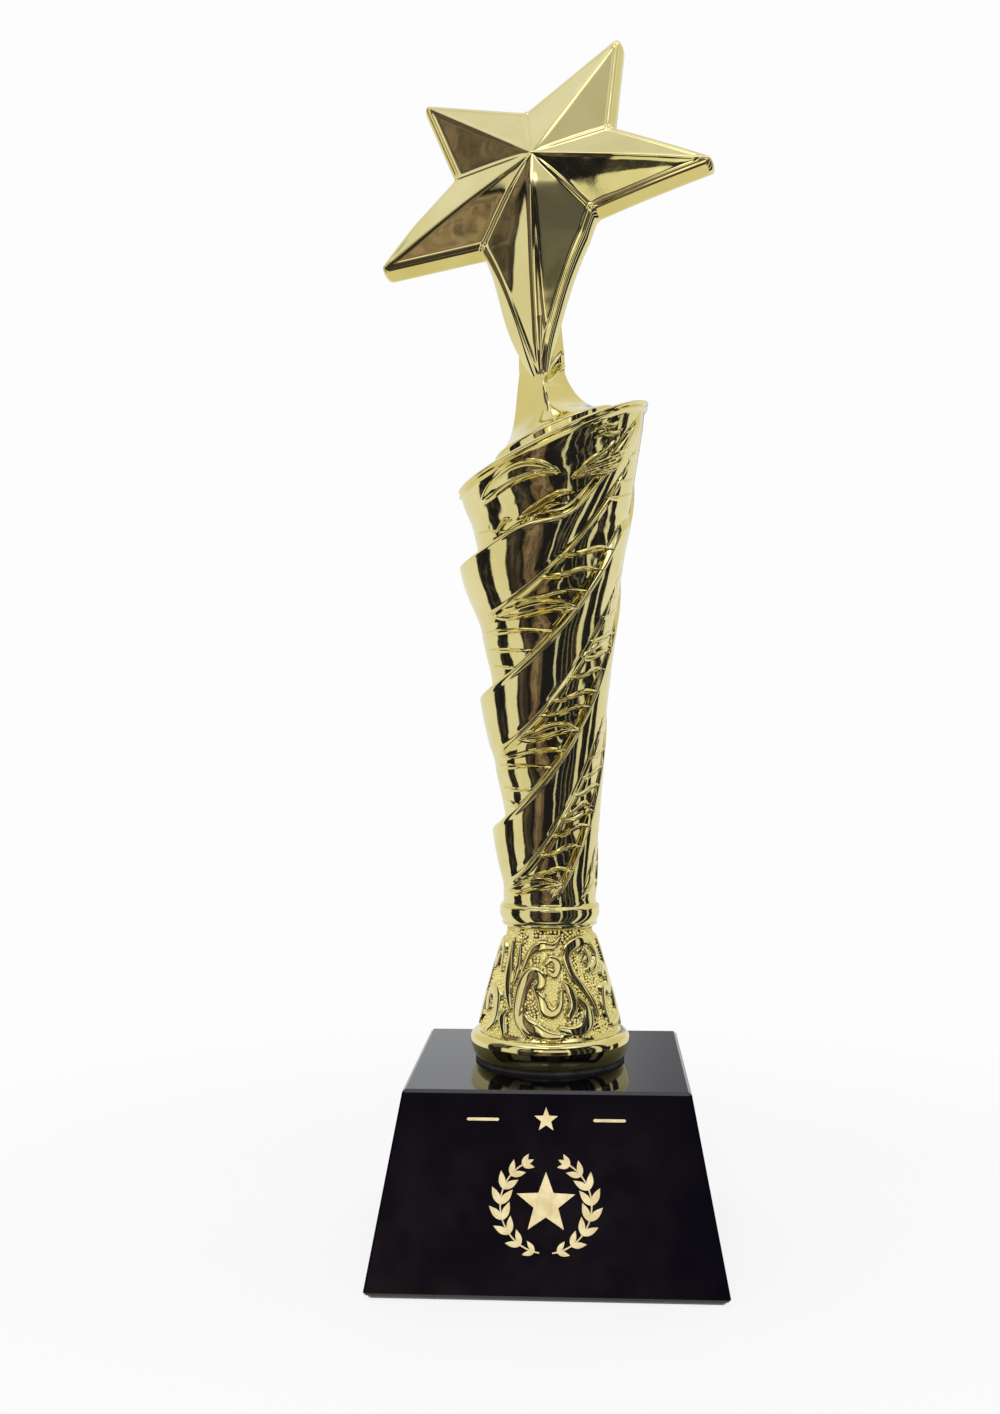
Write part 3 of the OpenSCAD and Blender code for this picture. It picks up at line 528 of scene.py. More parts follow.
ground_turn = np.degrees(np.arctan2(flank_points[:, 0], -flank_points[:, 1]))
ground_across = np.radians((ground_turn + 90) % 180 - 90) * spread
ground_up = flank_points[:, 2]
relief = np.zeros(len(flank_points))
period = math.pi * spread
for points, start, middle, end in strokes:
    path = smooth_path(points, stroke_steps)
    width = np.interp(np.linspace(0, 1, len(path)), [0, 0.45, 1], [start, middle, end]) * stroke_wide / 2
    for x, z, half in zip(np.radians(path[:, 0]) * spread, path[:, 1], width):
        near = np.abs(ground_up - z) < half
        gap = (ground_across[near] - x + period / 2) % period - period / 2
        off = (gap ** 2 + (ground_up[near] - z) ** 2) / half ** 2
        dome = min(1.0, 0.5 + 0.35 * half) * np.sqrt(np.maximum(0, 1 - off ** 2.2))
        relief[near] = np.maximum(relief[near], dome)
margin = np.clip((ground_up - bell_z) / plain_edge, 0, 1) * np.clip((collar_z - ground_up) / plain_edge, 0, 1)
lift = (relief * scroll_high - ground_sunk) * margin
away = flank_points[:, :2] / np.linalg.norm(flank_points[:, :2], axis=1)[:, None]
flank_points[:, :2] += away * lift[:, None]
bell = make_piece("bell", bell_points, bell_faces, gold, 50)
ground = np.zeros(len(bell_points))
ground[:len(lift)] = (relief < 0.02) * (ground_up > bell_z + 0.9) * (ground_up < collar_z - 0.1)
bell.data.attributes.new("ground", "FLOAT", "POINT").data.foreach_set("value", ground)
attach(bell, "root")
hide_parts("scroll_bell")

granule_gold, shader, place = finish("granule_gold", {"Metallic": 0.35})
tone = place.noise(900.0, 2.0)
wear(shader, Base_Color=tone.ease(0.3, 0.7).blend((0.95, 0.80, 0.26, 1), (1.0, 0.93, 0.46, 1)),
     Roughness=tone * 0.16 + 0.12)
granule_sizes = {"Spacing": 0.74, "Radius": 0.42, "Smallest": 0.75, "Largest": 1.15, "Segments": 7,
                 "Rings": 5, "Seed": 7}
most_granules = 6.0e6  # per square metre, more than the spacing lets in
tree, size, add = new_tree("granules", granule_sizes)
on_ground = add("GeometryNodeInputNamedAttribute", {"data_type": "FLOAT"}, {"Name": "ground"})
spots = add("GeometryNodeDistributePointsOnFaces", {"distribute_method": "POISSON"}, {
    "Mesh": size["Geometry"], "Distance Min": size["Spacing"] * MM, "Density Max": most_granules,
    "Density Factor": on_ground, "Seed": size["Seed"]})
grain = add("GeometryNodeMeshUVSphere", (), {
    "Radius": size["Radius"] * MM, "Segments": size["Segments"], "Rings": size["Rings"]})
vary = add("FunctionNodeRandomValue", {"data_type": "FLOAT"},
           {"Min": size["Smallest"], "Max": size["Largest"], "Seed": size["Seed"]}, 1)
grains = add("GeometryNodeInstanceOnPoints", (), {"Points": spots, "Instance": grain, "Scale": vary})
granule_mesh = grow(tree, granule_sizes, grains, granule_gold, bell.data.copy())
granules = place_piece("bell_granules", granule_mesh, granule_gold)
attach(granules, "root")
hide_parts("scroll_bell")

# COLLAR
# Turned ring that hides the join of bell and column. Zinc alloy, polished and plated bright pale gold.
# It drops over the rod and is clamped between the two castings.
collar_h, collar_r, step_r, foot_of_column_r = 8.3, 15.1, 14.6, 13.9
# The outer side in bends, upwards from the bell: where each is drawn to, where it ends, and its steps.
# Places are (radius, height over the bell).
collar_bends = (
    ((collar_r - 1.9, 0.0), (collar_r - 1.4, 0.45), 8),
    ((collar_r - 0.35, 0.8), (collar_r - 0.95, 1.7), 14),
    ((collar_r + 0.15, 3.45), (collar_r - 0.1, 5.2), 16),
    ((collar_r + 0.05, 6.1), (step_r, 6.6), 16),
    ((foot_of_column_r, 7.0), (foot_of_column_r, collar_h), 16))
collar_side = [(bell_top_r, 0.0)]
for pull, end, steps in collar_bends:
    collar_side.extend(curve(collar_side[-1], pull, end, steps)[1:])
collar_profile = np.array([(rod_hole_r, 0.0), *collar_side, (rod_hole_r, collar_h)]) + (0.0, collar_z)
collar = make_piece("collar", *lathe(collar_profile, 240), gold, 35)
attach(collar, "root")
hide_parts("collar_ring")

# COLUMN
# Tapered hollow casting of plated zinc alloy, clamped by the rod between the collar and the crown. Three
# broad ribbons climb to the right round it, each with a cord along both edges, and leave sunk bands with a
# dimpled ground between them. A hoop of two cords ends the casting at its slanting rim.
rim_slant, rim_z = 24.7, 239.0
column_sizes = {
    "Bearings": 340, "Rows": 502, "Rows Per Ribbon": 72.0, "First Row": -2.9, "Run-out": 3.0,
    "Bottom Radius": foot_of_column_r, "Taper": 0.102, "Foot": 103.5, "Height": 135.5,
    "Waist": 1.4, "Bow": 0.7, "Rim Slope": math.tan(math.radians(rim_slant)), "Hoop": 3.2, "Fade": 8.0,
    "Pitch": 39.4, "Ribbon": 22.0, "Narrowing": 10.0, "Narrow From": 0.64, "Narrow To": 0.77,
    "Start": 33.6, "Dip": 17.4, "Dip Bearing": math.radians(-10),
    "Relief": 2.0, "Lower Relief": 0.45, "Side Relief": 0.72, "Band Depth": 1.6}


def column_surface(size, bearing, z):
    """Plain radius at a bearing and height, how far the relief has faded in there, and the rim's height."""
    right = bearing.sin()
    slope = size["Rim Slope"] * right
    rim = (size["Foot"] + size["Height"] + slope * (size["Bottom Radius"] - size["Taper"] * size["Foot"])) \
        / (1 - slope * size["Taper"])
    up = z - size["Foot"]
    fade = up.ease(0.0, size["Fade"]) * (rim - size["Hoop"] - z).ease(0.0, size["Fade"])
    middle = (up / size["Height"] * math.pi).sin()
    drawn_in = fade * middle * (size["Waist"] + size["Bow"] * right)
    return size["Bottom Radius"] + size["Taper"] * up - drawn_in, fade, rim


def ribbon_edge(size, bearing, ribbon):
    """Height of a ribbon's lower edge at a bearing, and how tall the ribbon is there."""
    edge = size["Foot"] + size["Start"] + size["Pitch"] * (ribbon + bearing * (3.0 / (2 * math.pi))) \
        - size["Dip"] * (bearing - size["Dip Bearing"]).cos()
    narrow = (edge - size["Foot"]).ease(
        size["Narrow From"] * size["Height"], size["Narrow To"] * size["Height"])
    return edge, size["Ribbon"] - size["Narrowing"] * narrow


def bead(part, centre, half, high):
    """A bead along a ribbon, roof-shaped with a rounded top."""
    off = (part - centre) / half
    return (1.06 - (off * off + 0.012) ** 0.5).most(0.0) * high


# The cords along a ribbon's lower and upper edge: place and half width as in part below, and height.
low_cord, high_cord = (0.036, 0.036, 1.05), (0.478, 0.042, 1.1)


def wrap_relief(size, bearing, part, z):
    """Height over the plain side. Part runs from 0 at a ribbon's lower edge to 0.5 at its upper edge and to 1
    at the next ribbon. The ribbons stand out less low down and on the right."""
    face = (((part - 0.03) / 0.44).most(0.0).least(1.0) * (math.pi / 2)).sin() * 1.4 - 0.4
    ground = part.ease(0.55, 1.0) * 0.55 - 0.95
    drop = part.ease(0.435, 0.53)
    swell = face * (1 - drop) + ground * drop
    higher = (z - size["Foot"]).ease(0.45 * size["Height"], 0.7 * size["Height"])
    growth = size["Lower Relief"] + (1 - size["Lower Relief"]) * higher
    sideways = bearing.math("ABSOLUTE", bearing.sin())
    cords = (bead(part, *low_cord) + bead(part, *high_cord)) * (1 - 0.85 * sideways.ease(0.72, 0.97))
    return (swell.most(0.0) * size["Relief"] * growth + swell.least(0.0) * size["Band Depth"]) \
        * (1 - size["Side Relief"] * bearing.sin()) + cords


def ring_place(bearing, radius, z):
    """Position in metres of a point in millimetres round the axis. Bearing 0 faces the front."""
    spot = bearing.node("ShaderNodeCombineXYZ", (), {
        0: radius * bearing.sin(), 1: -(radius * bearing.cos()), 2: z})
    return bearing.node("ShaderNodeVectorMath", {"operation": "SCALE"}, {0: spot, "Scale": MM})


tree, size, add = new_tree("column", column_sizes)
sheet = add("GeometryNodeMeshGrid", (), {
    "Size X": 1.0, "Size Y": 1.0, "Vertices X": size["Bearings"] + 1, "Vertices Y": size["Rows"] + 1})
along_x, along_y, _ = add("GeometryNodeInputPosition").parts()
bearing = along_x * (2 * math.pi)
row = (along_y + 0.5) * size["Rows"] / size["Rows Per Ribbon"] + size["First Row"]
ribbon = row.math("FLOOR", row)
spaced = row - ribbon
# Rows crowd where the cords are.
crowding = ((0, 0), (0.20, 0.074), (0.26, 0.10), (0.32, 0.13), (0.50, 0.40), (0.53, 0.415), (0.82, 0.52),
            (0.86, 0.56), (0.95, 0.95), (1, 1))
part = spaced.node("ShaderNodeFloatCurve", {"points": crowding}, {"Value": spaced})
edge, tall = ribbon_edge(size, bearing, ribbon)
z = edge + tall * (part * 2).least(1.0) + (size["Pitch"] - tall) * (part * 2 - 1).most(0.0)
_, _, rim = column_surface(size, bearing, z)
z = z.math("SMOOTH_MAX", z, size["Foot"], size["Run-out"])
z = z.math("SMOOTH_MIN", z, rim - size["Hoop"], size["Run-out"])
radius, fade, _ = column_surface(size, bearing, z)
on_band = part.ease(0.52, 0.56) * (1 - part.ease(0.93, 0.99)) * fade
sheet = add("GeometryNodeStoreNamedAttribute", {"data_type": "FLOAT", "domain": "POINT"}, {
    "Geometry": sheet, "Name": "band_ground", "Value": on_band})
wrapped_r = radius + fade * wrap_relief(size, bearing, part, z)
column_shape = shaped(sheet, ring_place(bearing, wrapped_r, z))
column_gold = gilding("column_gold", 0.8, "band_ground")
column_mesh = grow(tree, column_sizes, column_shape, column_gold)

# The hoop, two cords and a ledge: places outwards from the column's side and upwards from the rim.
hoop = ((0.05, -3.15), (0.75, -2.5), (0.86, -2.35), (0.8, -2.2), (0.22, -1.7), (0.18, -1.6), (0.22, -1.5),
        (0.86, -0.95), (0.9, -0.8), (0.8, -0.62), (-0.2, -0.05), (-0.5, 0.0))
edit = bmesh.new()
edit.from_mesh(column_mesh)
slope, bottom_r, taper, foot_of_column = (
    column_sizes[key] for key in ("Rim Slope", "Bottom Radius", "Taper", "Foot"))


def turn_of(vert):
    """Bearing of a point round the axis."""
    return math.atan2(vert.co.x, -vert.co.y)


def rim_spot(angle, out, up):
    """Place in metres of a point outwards from the column's side and upwards from its slanting rim."""
    s = slope * math.sin(angle)
    level = (rim_z + s * (bottom_r + out - taper * foot_of_column)) / (1 - s * taper) + up
    r = bottom_r + taper * (level - foot_of_column) + out
    return (r * math.sin(angle) * MM, -r * math.cos(angle) * MM, level * MM)


def join_rings(low, high):
    """Faces between two rings of points."""
    for i in range(len(low)):
        j = (i + 1) % len(low)
        edit.faces.new((low[i], low[j], high[j], high[i]))


loose = {vert for side in edit.edges if side.is_boundary for vert in side.verts}
foot_level = foot_of_column * MM + NEAR
foot_ring = sorted((vert for vert in loose if vert.co.z < foot_level), key=turn_of)
top_ring = sorted((vert for vert in loose if vert.co.z >= foot_level), key=turn_of)
ring = top_ring
for out, up in hoop:
    following = [edit.verts.new(rim_spot(turn_of(v), out, up)) for v in top_ring]
    join_rings(ring, following)
    ring = following
# The bore, from under the rim down to the foot, closes the casting.
bore_r, foot_share, foot_wall, ledge_drop = 12.9, 0.7, 3.0, 0.5
for share, level in ((1.0, None), (foot_share, foot_of_column + foot_wall), (foot_share, foot_of_column)):
    following = []
    for v in top_ring:
        x, y = share * bore_r * math.sin(turn_of(v)), -share * bore_r * math.cos(turn_of(v))
        following.append(edit.verts.new((x * MM, y * MM, (level or rim_z - ledge_drop + slope * x) * MM)))
    join_rings(ring, following)
    ring = following
join_rings(ring, foot_ring)
bmesh.ops.recalc_face_normals(edit, faces=edit.faces)
edit.to_mesh(column_mesh)
edit.free()
column = place_piece("column_casting", column_mesh, column_gold, 55)
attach(column, "root")
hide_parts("column")

# COLUMN LEAVES
# Slim rungs, each fourth one a broad leaf with a raised outline, cast in one with the column and plated
# with it. They cross the sunk bands from one ribbon to the next, and larger leaves lie under the front rim.
sheet_only = ("Bearings", "Rows", "Rows Per Ribbon", "First Row", "Run-out")
leaf_sizes = {key: value for key, value in column_sizes.items() if key not in sheet_only}
leaf_sizes.update({"Stations": 25, "Ring": 29, "Leaf Height": 1.4, "Leaf Root": 1.0, "Sway": 0.6})
sweep = np.radians(np.linspace(-560, 560, 2241))


def smooth_step(value, low, high):
    """Smooth change from 0 at low to 1 at high, for plain numbers."""
    t = np.clip((value - low) / (high - low), 0, 1)
    return t * t * (3 - 2 * t)


def ribbon_sides(k):
    """Heights of a ribbon's lower and upper edge over the sweep of bearings."""
    foot, pitch, dip = (column_sizes[key] for key in ("Foot", "Pitch", "Dip"))
    low = (foot + column_sizes["Start"] + pitch * (k + 3 * sweep / (2 * math.pi))
           - dip * np.cos(sweep - column_sizes["Dip Bearing"]))
    narrow = smooth_step((low - foot) / column_sizes["Height"],
                         column_sizes["Narrow From"], column_sizes["Narrow To"])
    return low, low + column_sizes["Ribbon"] - column_sizes["Narrowing"] * narrow


# Each leaf: bearing and height of its root and of its tip, half width, and how far it arches up.
leaf_from, leaf_to, leaf_step, leaf_fall, leaf_short = 108.0, 240.0, 5.8, 2.4, 5.0
rung, broad_leaf, rim_rise, rim_clear = (0.95, 0.4), (2.5, 1.2), 12.0, 9
front_left, front_right, front_low = -62, 64, 209  # the field of the larger leaves
leaves = []
for k in range(3):
    cord, lip = ribbon_sides(k)[1] - 0.2, ribbon_sides(k + 1)[0] + 0.4
    for i, level in enumerate(np.arange(leaf_from, leaf_to, leaf_step)):
        level = level + 0.7 * math.sin(2.3 * i + k)
        root = math.degrees(np.interp(level, cord, sweep))
        tip = math.degrees(np.interp(level - leaf_fall, lip, sweep))
        middle = ((root + tip) / 2 + 180) % 360 - 180
        rim_level = rim_z + rim_rise * math.sin(math.radians(middle))
        if level > rim_level - rim_clear or (front_left < middle < front_right and level > front_low):
            continue
        leaves.append((root + leaf_short, level, tip - leaf_short, level - leaf_fall,
                       *(broad_leaf if (i + 2 * k) % 4 == 0 else rung)))
leaves += [
    (10, 228.2, -53, 220.5, 3.0, 3.6), (20, 222.6, -23, 215.2, 1.6, 1.2), (13, 219.4, -20, 214.6, 0.9, 0.2),
    (-26, 215.2, -46, 211.2, 1.3, 0.6), (16, 226.6, 50, 239.6, 1.3, -0.4), (17, 226.2, 59, 237.6, 1.5, -0.6),
    (19, 226.4, 55, 233.6, 1.2, -1.2), (27, 239.2, 49, 244.0, 1.0, 0.0), (30, 238.0, 53, 242.0, 0.9, -0.3)]
leaf_points = bpy.data.meshes.new("leaf_points")
leaf_points.from_pydata([(0.0, 0.0, 0.0)] * len(leaves), [], [])
table = np.array(leaves, float)
for end, columns in (("root", (0, 1, 4)), ("tip", (2, 3, 5))):
    values = table[:, columns] * (math.radians(1), 1, 1)
    leaf_points.attributes.new(end, "FLOAT_VECTOR", "POINT").data.foreach_set("vector", values.ravel())

tree, size, add = new_tree("leaves", leaf_sizes)
sheet = add("GeometryNodeMeshGrid", (), {
    "Size X": 1.0, "Size Y": 1.0, "Vertices X": size["Stations"], "Vertices Y": size["Ring"]})
here = add("GeometryNodeInputPosition")
sheet = add("GeometryNodeStoreNamedAttribute", {"data_type": "FLOAT_VECTOR", "domain": "POINT"},
            {"Geometry": sheet, "Name": "leaf_place", "Value": here})
sheet = add("GeometryNodeInstanceOnPoints", (), {"Points": size["Geometry"], "Instance": sheet})
sheet = add("GeometryNodeRealizeInstances", (), {"Geometry": sheet})
(root_turn, root_z, half), (tip_turn, tip_z, arch), (t, around, _) = (
    add("GeometryNodeInputNamedAttribute", {"data_type": "FLOAT_VECTOR"}, {"Name": name}).parts()
    for name in ("root", "tip", "leaf_place"))
t, around = t + 0.5, around + 0.5
# Three quarters of the ring go over the leaf, and the last quarter goes back under it.
on_top = around.math("LESS_THAN", around, 0.76)
across = on_top * (math.pi / 2 - around * (math.pi / 0.75)).sin() + (1 - on_top) * ((around - 0.75) * 8 - 1)
slim = (t * math.pi).sin().most(0.0) ** 0.55
from_edge = (1 - across.math("ABSOLUTE", across)) * half * slim
rib_half = 0.62 + 0.1 * half
rise = bead(from_edge, rib_half * 0.95, rib_half, 0.95)
height = on_top * rise * size["Leaf Height"] - (1 - on_top) * size["Leaf Root"]
bearing = root_turn + (tip_turn - root_turn) * t
z = root_z + (tip_z - root_z) * t + arch * (t * math.pi).sin() \
    + size["Sway"] * (t * (2 * math.pi)).sin() + across * half * slim
radius, fade, _ = column_surface(size, bearing, z)
first_edge, _ = ribbon_edge(size, bearing, 0.0)
ribbon = z.math("FLOOR", (z - first_edge) / size["Pitch"])
edge, tall = ribbon_edge(size, bearing, ribbon)
part = ((z - edge) / tall * 0.5).least(0.5) + ((z - edge - tall) / (size["Pitch"] - tall) * 0.5).most(0.0)
ground_r = radius + fade * wrap_relief(size, bearing, part, z)
sideways = bearing.sin()
raised = height * (0.35 + slim * 0.65) * (1 - 0.95 * sideways * sideways)
leaf_shape = shaped(sheet, ring_place(bearing, ground_r + raised, z))
leaf_mesh = grow(tree, leaf_sizes, leaf_shape, gold, leaf_points)
column_leaves = place_piece("column_leaves", leaf_mesh, gold, 70)
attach(column_leaves, "root")
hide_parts("column")

# CROWN AND STEM
# One casting, plated like the rest: a low skirt on the column's slanting rim, a concave flare with a ridge in
# front and two thin lips on its right, and a stem whose back slopes forward to the star's lower arm.
# The plug below it, which fits the column and takes the rod's end, is not drawn.
skirt_r, skirt_h, stem_w, stem_d, flare_h, stem_h = 19.8, 3.1, 13.8, 15.6, 22.5, 38.5
skirt_shift, stem_shift, back_slope, front_push = 2.0, -2.0, 0.6, 0.2
ridge_from, ridge_to, right_trim, trim_from, trim_h = 3.6, 11.6, 0.14, 27.0, 10.0
low_lip_out, high_lip_out, lip_wide, groove_depth, groove_soft = 0.65, 0.55, 0.5, 1.2, 0.12
half_w, half_d = stem_w / 2, stem_d / 2
# Rows of height over the rim, radius, and how far the round skirt has become the stem.
skirt = np.array([(0, skirt_r, 0), (0.3, skirt_r + 0.15, 0), (skirt_h, skirt_r - 0.05, 0),
                  (skirt_h + 0.45, skirt_r - 0.2, 0), (skirt_h + 0.8, skirt_r - 0.6, 0)])
flare = curve((skirt_h + 1.1, skirt_r - 1.2, 0), (skirt_h + 3.2, half_w + 4, 0.35), (flare_h, half_w, 1), 60)
shape = np.concatenate([skirt, flare, [(stem_h, half_w, 1)]])
levels = np.unique(np.concatenate([
    [0, 0.1, 0.3], np.linspace(0.5, skirt_h + 1.2, 24), np.linspace(skirt_h + 1.4, 18, 36),
    np.linspace(18.2, 33, 76), np.linspace(33.5, stem_h, 8)]))
crown_sides = 256
turn = np.linspace(0, 2 * math.pi, crown_sides, endpoint=False)
quarter = np.clip((np.degrees(turn) - 270) / 90, 0, 1)
# The lips climb over the front right quarter, with a groove between them.
low_lip, high_lip = 17.8 + 7.2 * quarter, 19.8 + 9.6 * quarter
groove_low, groove_high = low_lip + 0.7, high_lip - 0.6
right_front = np.where(
    quarter > 0, np.clip(quarter / 0.12, 0, 1) * np.clip((1 - quarter) / 0.05 + 0.3, 0, 1), 0)
crown_rows = []
for h in levels:
    r, settled = np.interp(h, shape[:, 0], shape[:, 1]), np.interp(h, shape[:, 0], shape[:, 2])
    rx, ry = r, r + (half_d - half_w) * settled
    ridged = max(settled, smooth_step(h, ridge_from, ridge_to))
    power = np.where(np.sin(turn) < 0, 2 - 0.97 * ridged, 2 - 0.9 * settled)
    t = smooth_step(h, 0, 1.1 * flare_h)
    slant = math.radians(rim_slant * (1 - t))
    shift = skirt_shift + (stem_shift - skirt_shift) * t
    lips = low_lip_out * np.exp(-((h - low_lip) / lip_wide) ** 2) \
        + high_lip_out * np.exp(-((h - high_lip) / lip_wide) ** 2)
    groove = 1 / (1 + np.exp((groove_low - h) / groove_soft)) / (1 + np.exp((h - groove_high) / groove_soft))
    beside_ridge = np.hypot(np.cos(turn), 0.03 * ridged)
    reach = (beside_ridge ** power + np.abs(np.sin(turn)) ** power) ** (-1 / power)
    wide, deep = (reach * r + right_front * (lips - groove_depth * groove) for r in (rx, ry))
    wide *= np.where(np.cos(turn) > 0, 1 - right_trim * np.clip((h - trim_from) / trim_h, 0, 1), 1)
    x = shift + wide * np.cos(turn) * math.cos(slant)
    back = 1 - back_slope * (max(0, h - flare_h) / (stem_h - flare_h)) ** 1.6
    front = 1 + front_push * (np.interp(h, [4.4, 15], [0, 1]) - np.interp(h, [17, 21], [0, 1]))
    y = deep * np.sin(turn) * np.where(np.sin(turn) > 0, back, front)
    crown_rows.append(np.column_stack([x, y, rim_z + h + x * math.tan(slant)]))
under, over = (row.mean(0) + (row - row.mean(0)) * 0.001 for row in (crown_rows[0], crown_rows[-1]))
crown_rows = [under, *crown_rows, over]
crown = make_piece("crown", np.concatenate(crown_rows), grid_faces(len(crown_rows), crown_sides), gold, 40)
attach(crown, "root")
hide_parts("crown_stem")

# STAR
# Five-pointed star of plated zinc alloy, cast in one with its long lower arm, which is let into the stem and
# pinned with a steel dowel. Its facets fall from a raised centre between beaded ridges and valleys, and its
# rim is a rounded band.
star_r, notch_r, lower_arm, lower_angle = 56.5, 26.3, 70.0, 276.1
left_notch_r, left_notch_angle = 29.4, 242.9
star_peak, rim_t, rim_swell, tip_round, notch_round = 8.2, 5.8, 1.0, 3.6, 1.6
star_spin, star_turn, star_lean = -3.0, -18.0, 25.8
star_apex = np.array([1.5, 0.0])
bend_from, bend_power, bend_back, arm_waist, arm_web = 10.0, 1.3, 12.5, 0.1, 4.0
lower_tip_round, tip_sink, sink_from = 1.4, 2.4, 58.0
tip_place = np.array([-3.3, -9.4, 259.9])
low_chamfer, chamfer_lean = 2.1, 0.75
ridge_bead, ridge_wide, valley_bead, valley_wide, edge_lip = 0.3, 0.75, 0.22, 0.55, 0.18
ridge_soft, valley_soft, chamfer_soft = 0.22, 0.28, 0.2
right_bend, right_bend_from = 1.1, 22.0
tip_steps, notch_steps, outline_step = 14, 8, 0.9


def polar(r, degrees):
    """Point in the star's plane at a distance from its middle and an angle."""
    return np.array([r * math.cos(math.radians(degrees)), r * math.sin(math.radians(degrees))])


def soft_least(a, b, k):
    """The lesser of two heights, with the ridge where they meet rounded over k."""
    return -k * np.logaddexp(-a / k, -b / k)


arm_line = polar(1, lower_angle)
tips = [polar(star_r, star_spin + 72 * k) for k in range(4)] + [polar(lower_arm, lower_angle)]
notches = [polar(notch_r, star_spin + 72 * (k + 0.5)) for k in range(5)]
notches[3] = polar(left_notch_r, left_notch_angle)
# The outline, with the arm that each point is on and whether it comes after that arm's tip.
outline, arm, past_tip = [], [], []
for k in range(5):
    rounding = lower_tip_round if k == 4 else tip_round
    corners = [(notches[k - 1], tips[k], notches[k], rounding, notch_round, tip_steps),
               (tips[k], notches[k], tips[(k + 1) % 5], notch_round, rounding, notch_steps)]
    for before, corner, after, reach, last, steps in corners:
        start = corner + reach * (before - corner) / np.linalg.norm(before - corner)
        end = corner + reach * (after - corner) / np.linalg.norm(after - corner)
        length = np.linalg.norm(before - corner)
        far = corner + (length - last) * (before - corner) / length
        count = int(np.linalg.norm(start - far) / outline_step)
        outline.extend(far + (start - far) * i / count for i in range(1, count))
        outline.extend(curve(start, corner, end, steps))
        at_tip = steps == tip_steps
        before_corner = count - 1 + steps // 2
        arm += [k] * before_corner + [k if at_tip else (k + 1) % 5] * (steps // 2 + 1)
        past_tip += [not at_tip] * before_corner + [at_tip] * (steps // 2 + 1)
outline, arm, past_tip = np.array(outline), np.array(arm), np.array(past_tip)
side = np.roll(outline, -1, 0) - np.roll(outline, 1, 0)
side /= np.linalg.norm(side, axis=1)[:, None]
outward = np.column_stack([side[:, 1], -side[:, 0]])
along_arm = (outline @ arm_line - notch_r) / (lower_arm - notch_r)
on_web = (outline[:, 0] * arm_line[1] - outline[:, 1] * arm_line[0] > 0) & (along_arm > 0) & (along_arm < 1)
web = np.where(on_web, arm_web * np.sin(math.pi * np.clip(along_arm, 0, 1)), 0)


def beside(points, towards):
    """Distance of each point from the line that runs from the star's centre towards a corner."""
    line = (towards - star_apex) / np.linalg.norm(towards - star_apex, axis=1)[:, None]
    from_apex = points - star_apex
    return np.abs(from_apex[:, 0] * line[:, 1] - from_apex[:, 1] * line[:, 0])


def facet_height(points, share):
    """Height over the rim's plane: two facets on each arm, with beads on the ridges, in the valleys and by
    the edge. Share is how far out from the centre to the outline the points are."""
    planes = np.array([[star_peak + (points - star_apex) @ np.linalg.solve(
        np.array([tips[k], notch]) - star_apex, [-star_peak, -star_peak])
        for notch in (notches[k - 1], notches[k])] for k in range(5)])
    each = np.arange(len(points))
    out = np.linalg.norm(points - star_apex, axis=1)
    before, after = planes[arm, 0, each], planes[arm, 1, each]
    # The lower arm has a broad chamfer on the left of its ridge.
    drop = low_chamfer * np.clip((points @ arm_line + 4) / lower_arm, 0, 1)
    chamfer = chamfer_lean * before + (1 - chamfer_lean) * after - drop
    before = np.where(arm == 4, soft_least(before, chamfer, chamfer_soft * np.clip(out / 12, 0.1, 1)), before)
    ridge = soft_least(before, after, ridge_soft * np.clip(out / 8, 0.2, 1))
    across = np.where(past_tip, planes[(arm + 1) % 5, 0, each], planes[arm - 1, 1, each])
    height = -soft_least(-ridge, -across, valley_soft * np.clip(out / 14, 0.12, 1))
    valley = np.where(past_tip[:, None], np.array(notches)[arm], np.array(notches)[arm - 1])
    by_ridge, by_valley = beside(points, np.array(tips)[arm]), beside(points, valley)
    height += ridge_bead * np.exp(-(by_ridge / ridge_wide) ** 2) * np.clip(out / 10, 0.2, 1)
    height += valley_bead * np.exp(-(by_valley / valley_wide) ** 2) * np.clip(out / 8, 0, 1)
    return height + edge_lip * math.exp(-(((1 - share) * 20 - 0.8) / 0.42) ** 2)


def bend(points):
    """Draws in the lower arm's sides and bends that arm back towards its tip, and the right arm a little."""
    flat, z = points[:, :2], points[:, 2]
    reach = flat @ arm_line
    share = np.clip((reach - notch_r) / (lower_arm - notch_r), 0, 1)
    back = bend_back * (np.maximum(0, reach - bend_from) / (lower_arm - bend_from)) ** bend_power
    near_tip = np.clip((reach - sink_from) / (lower_arm - sink_from), 0, 1)
    middle = reach[:, None] * arm_line
    drawn = middle + (flat - middle) * (1 - arm_waist * 4 * share * (1 - share))[:, None]
    right = np.maximum(0, flat @ polar(1, star_spin) - right_bend_from) / (star_r - right_bend_from)
    return np.column_stack([drawn, z - back - tip_sink * near_tip ** 2 - right_bend * right ** 2])


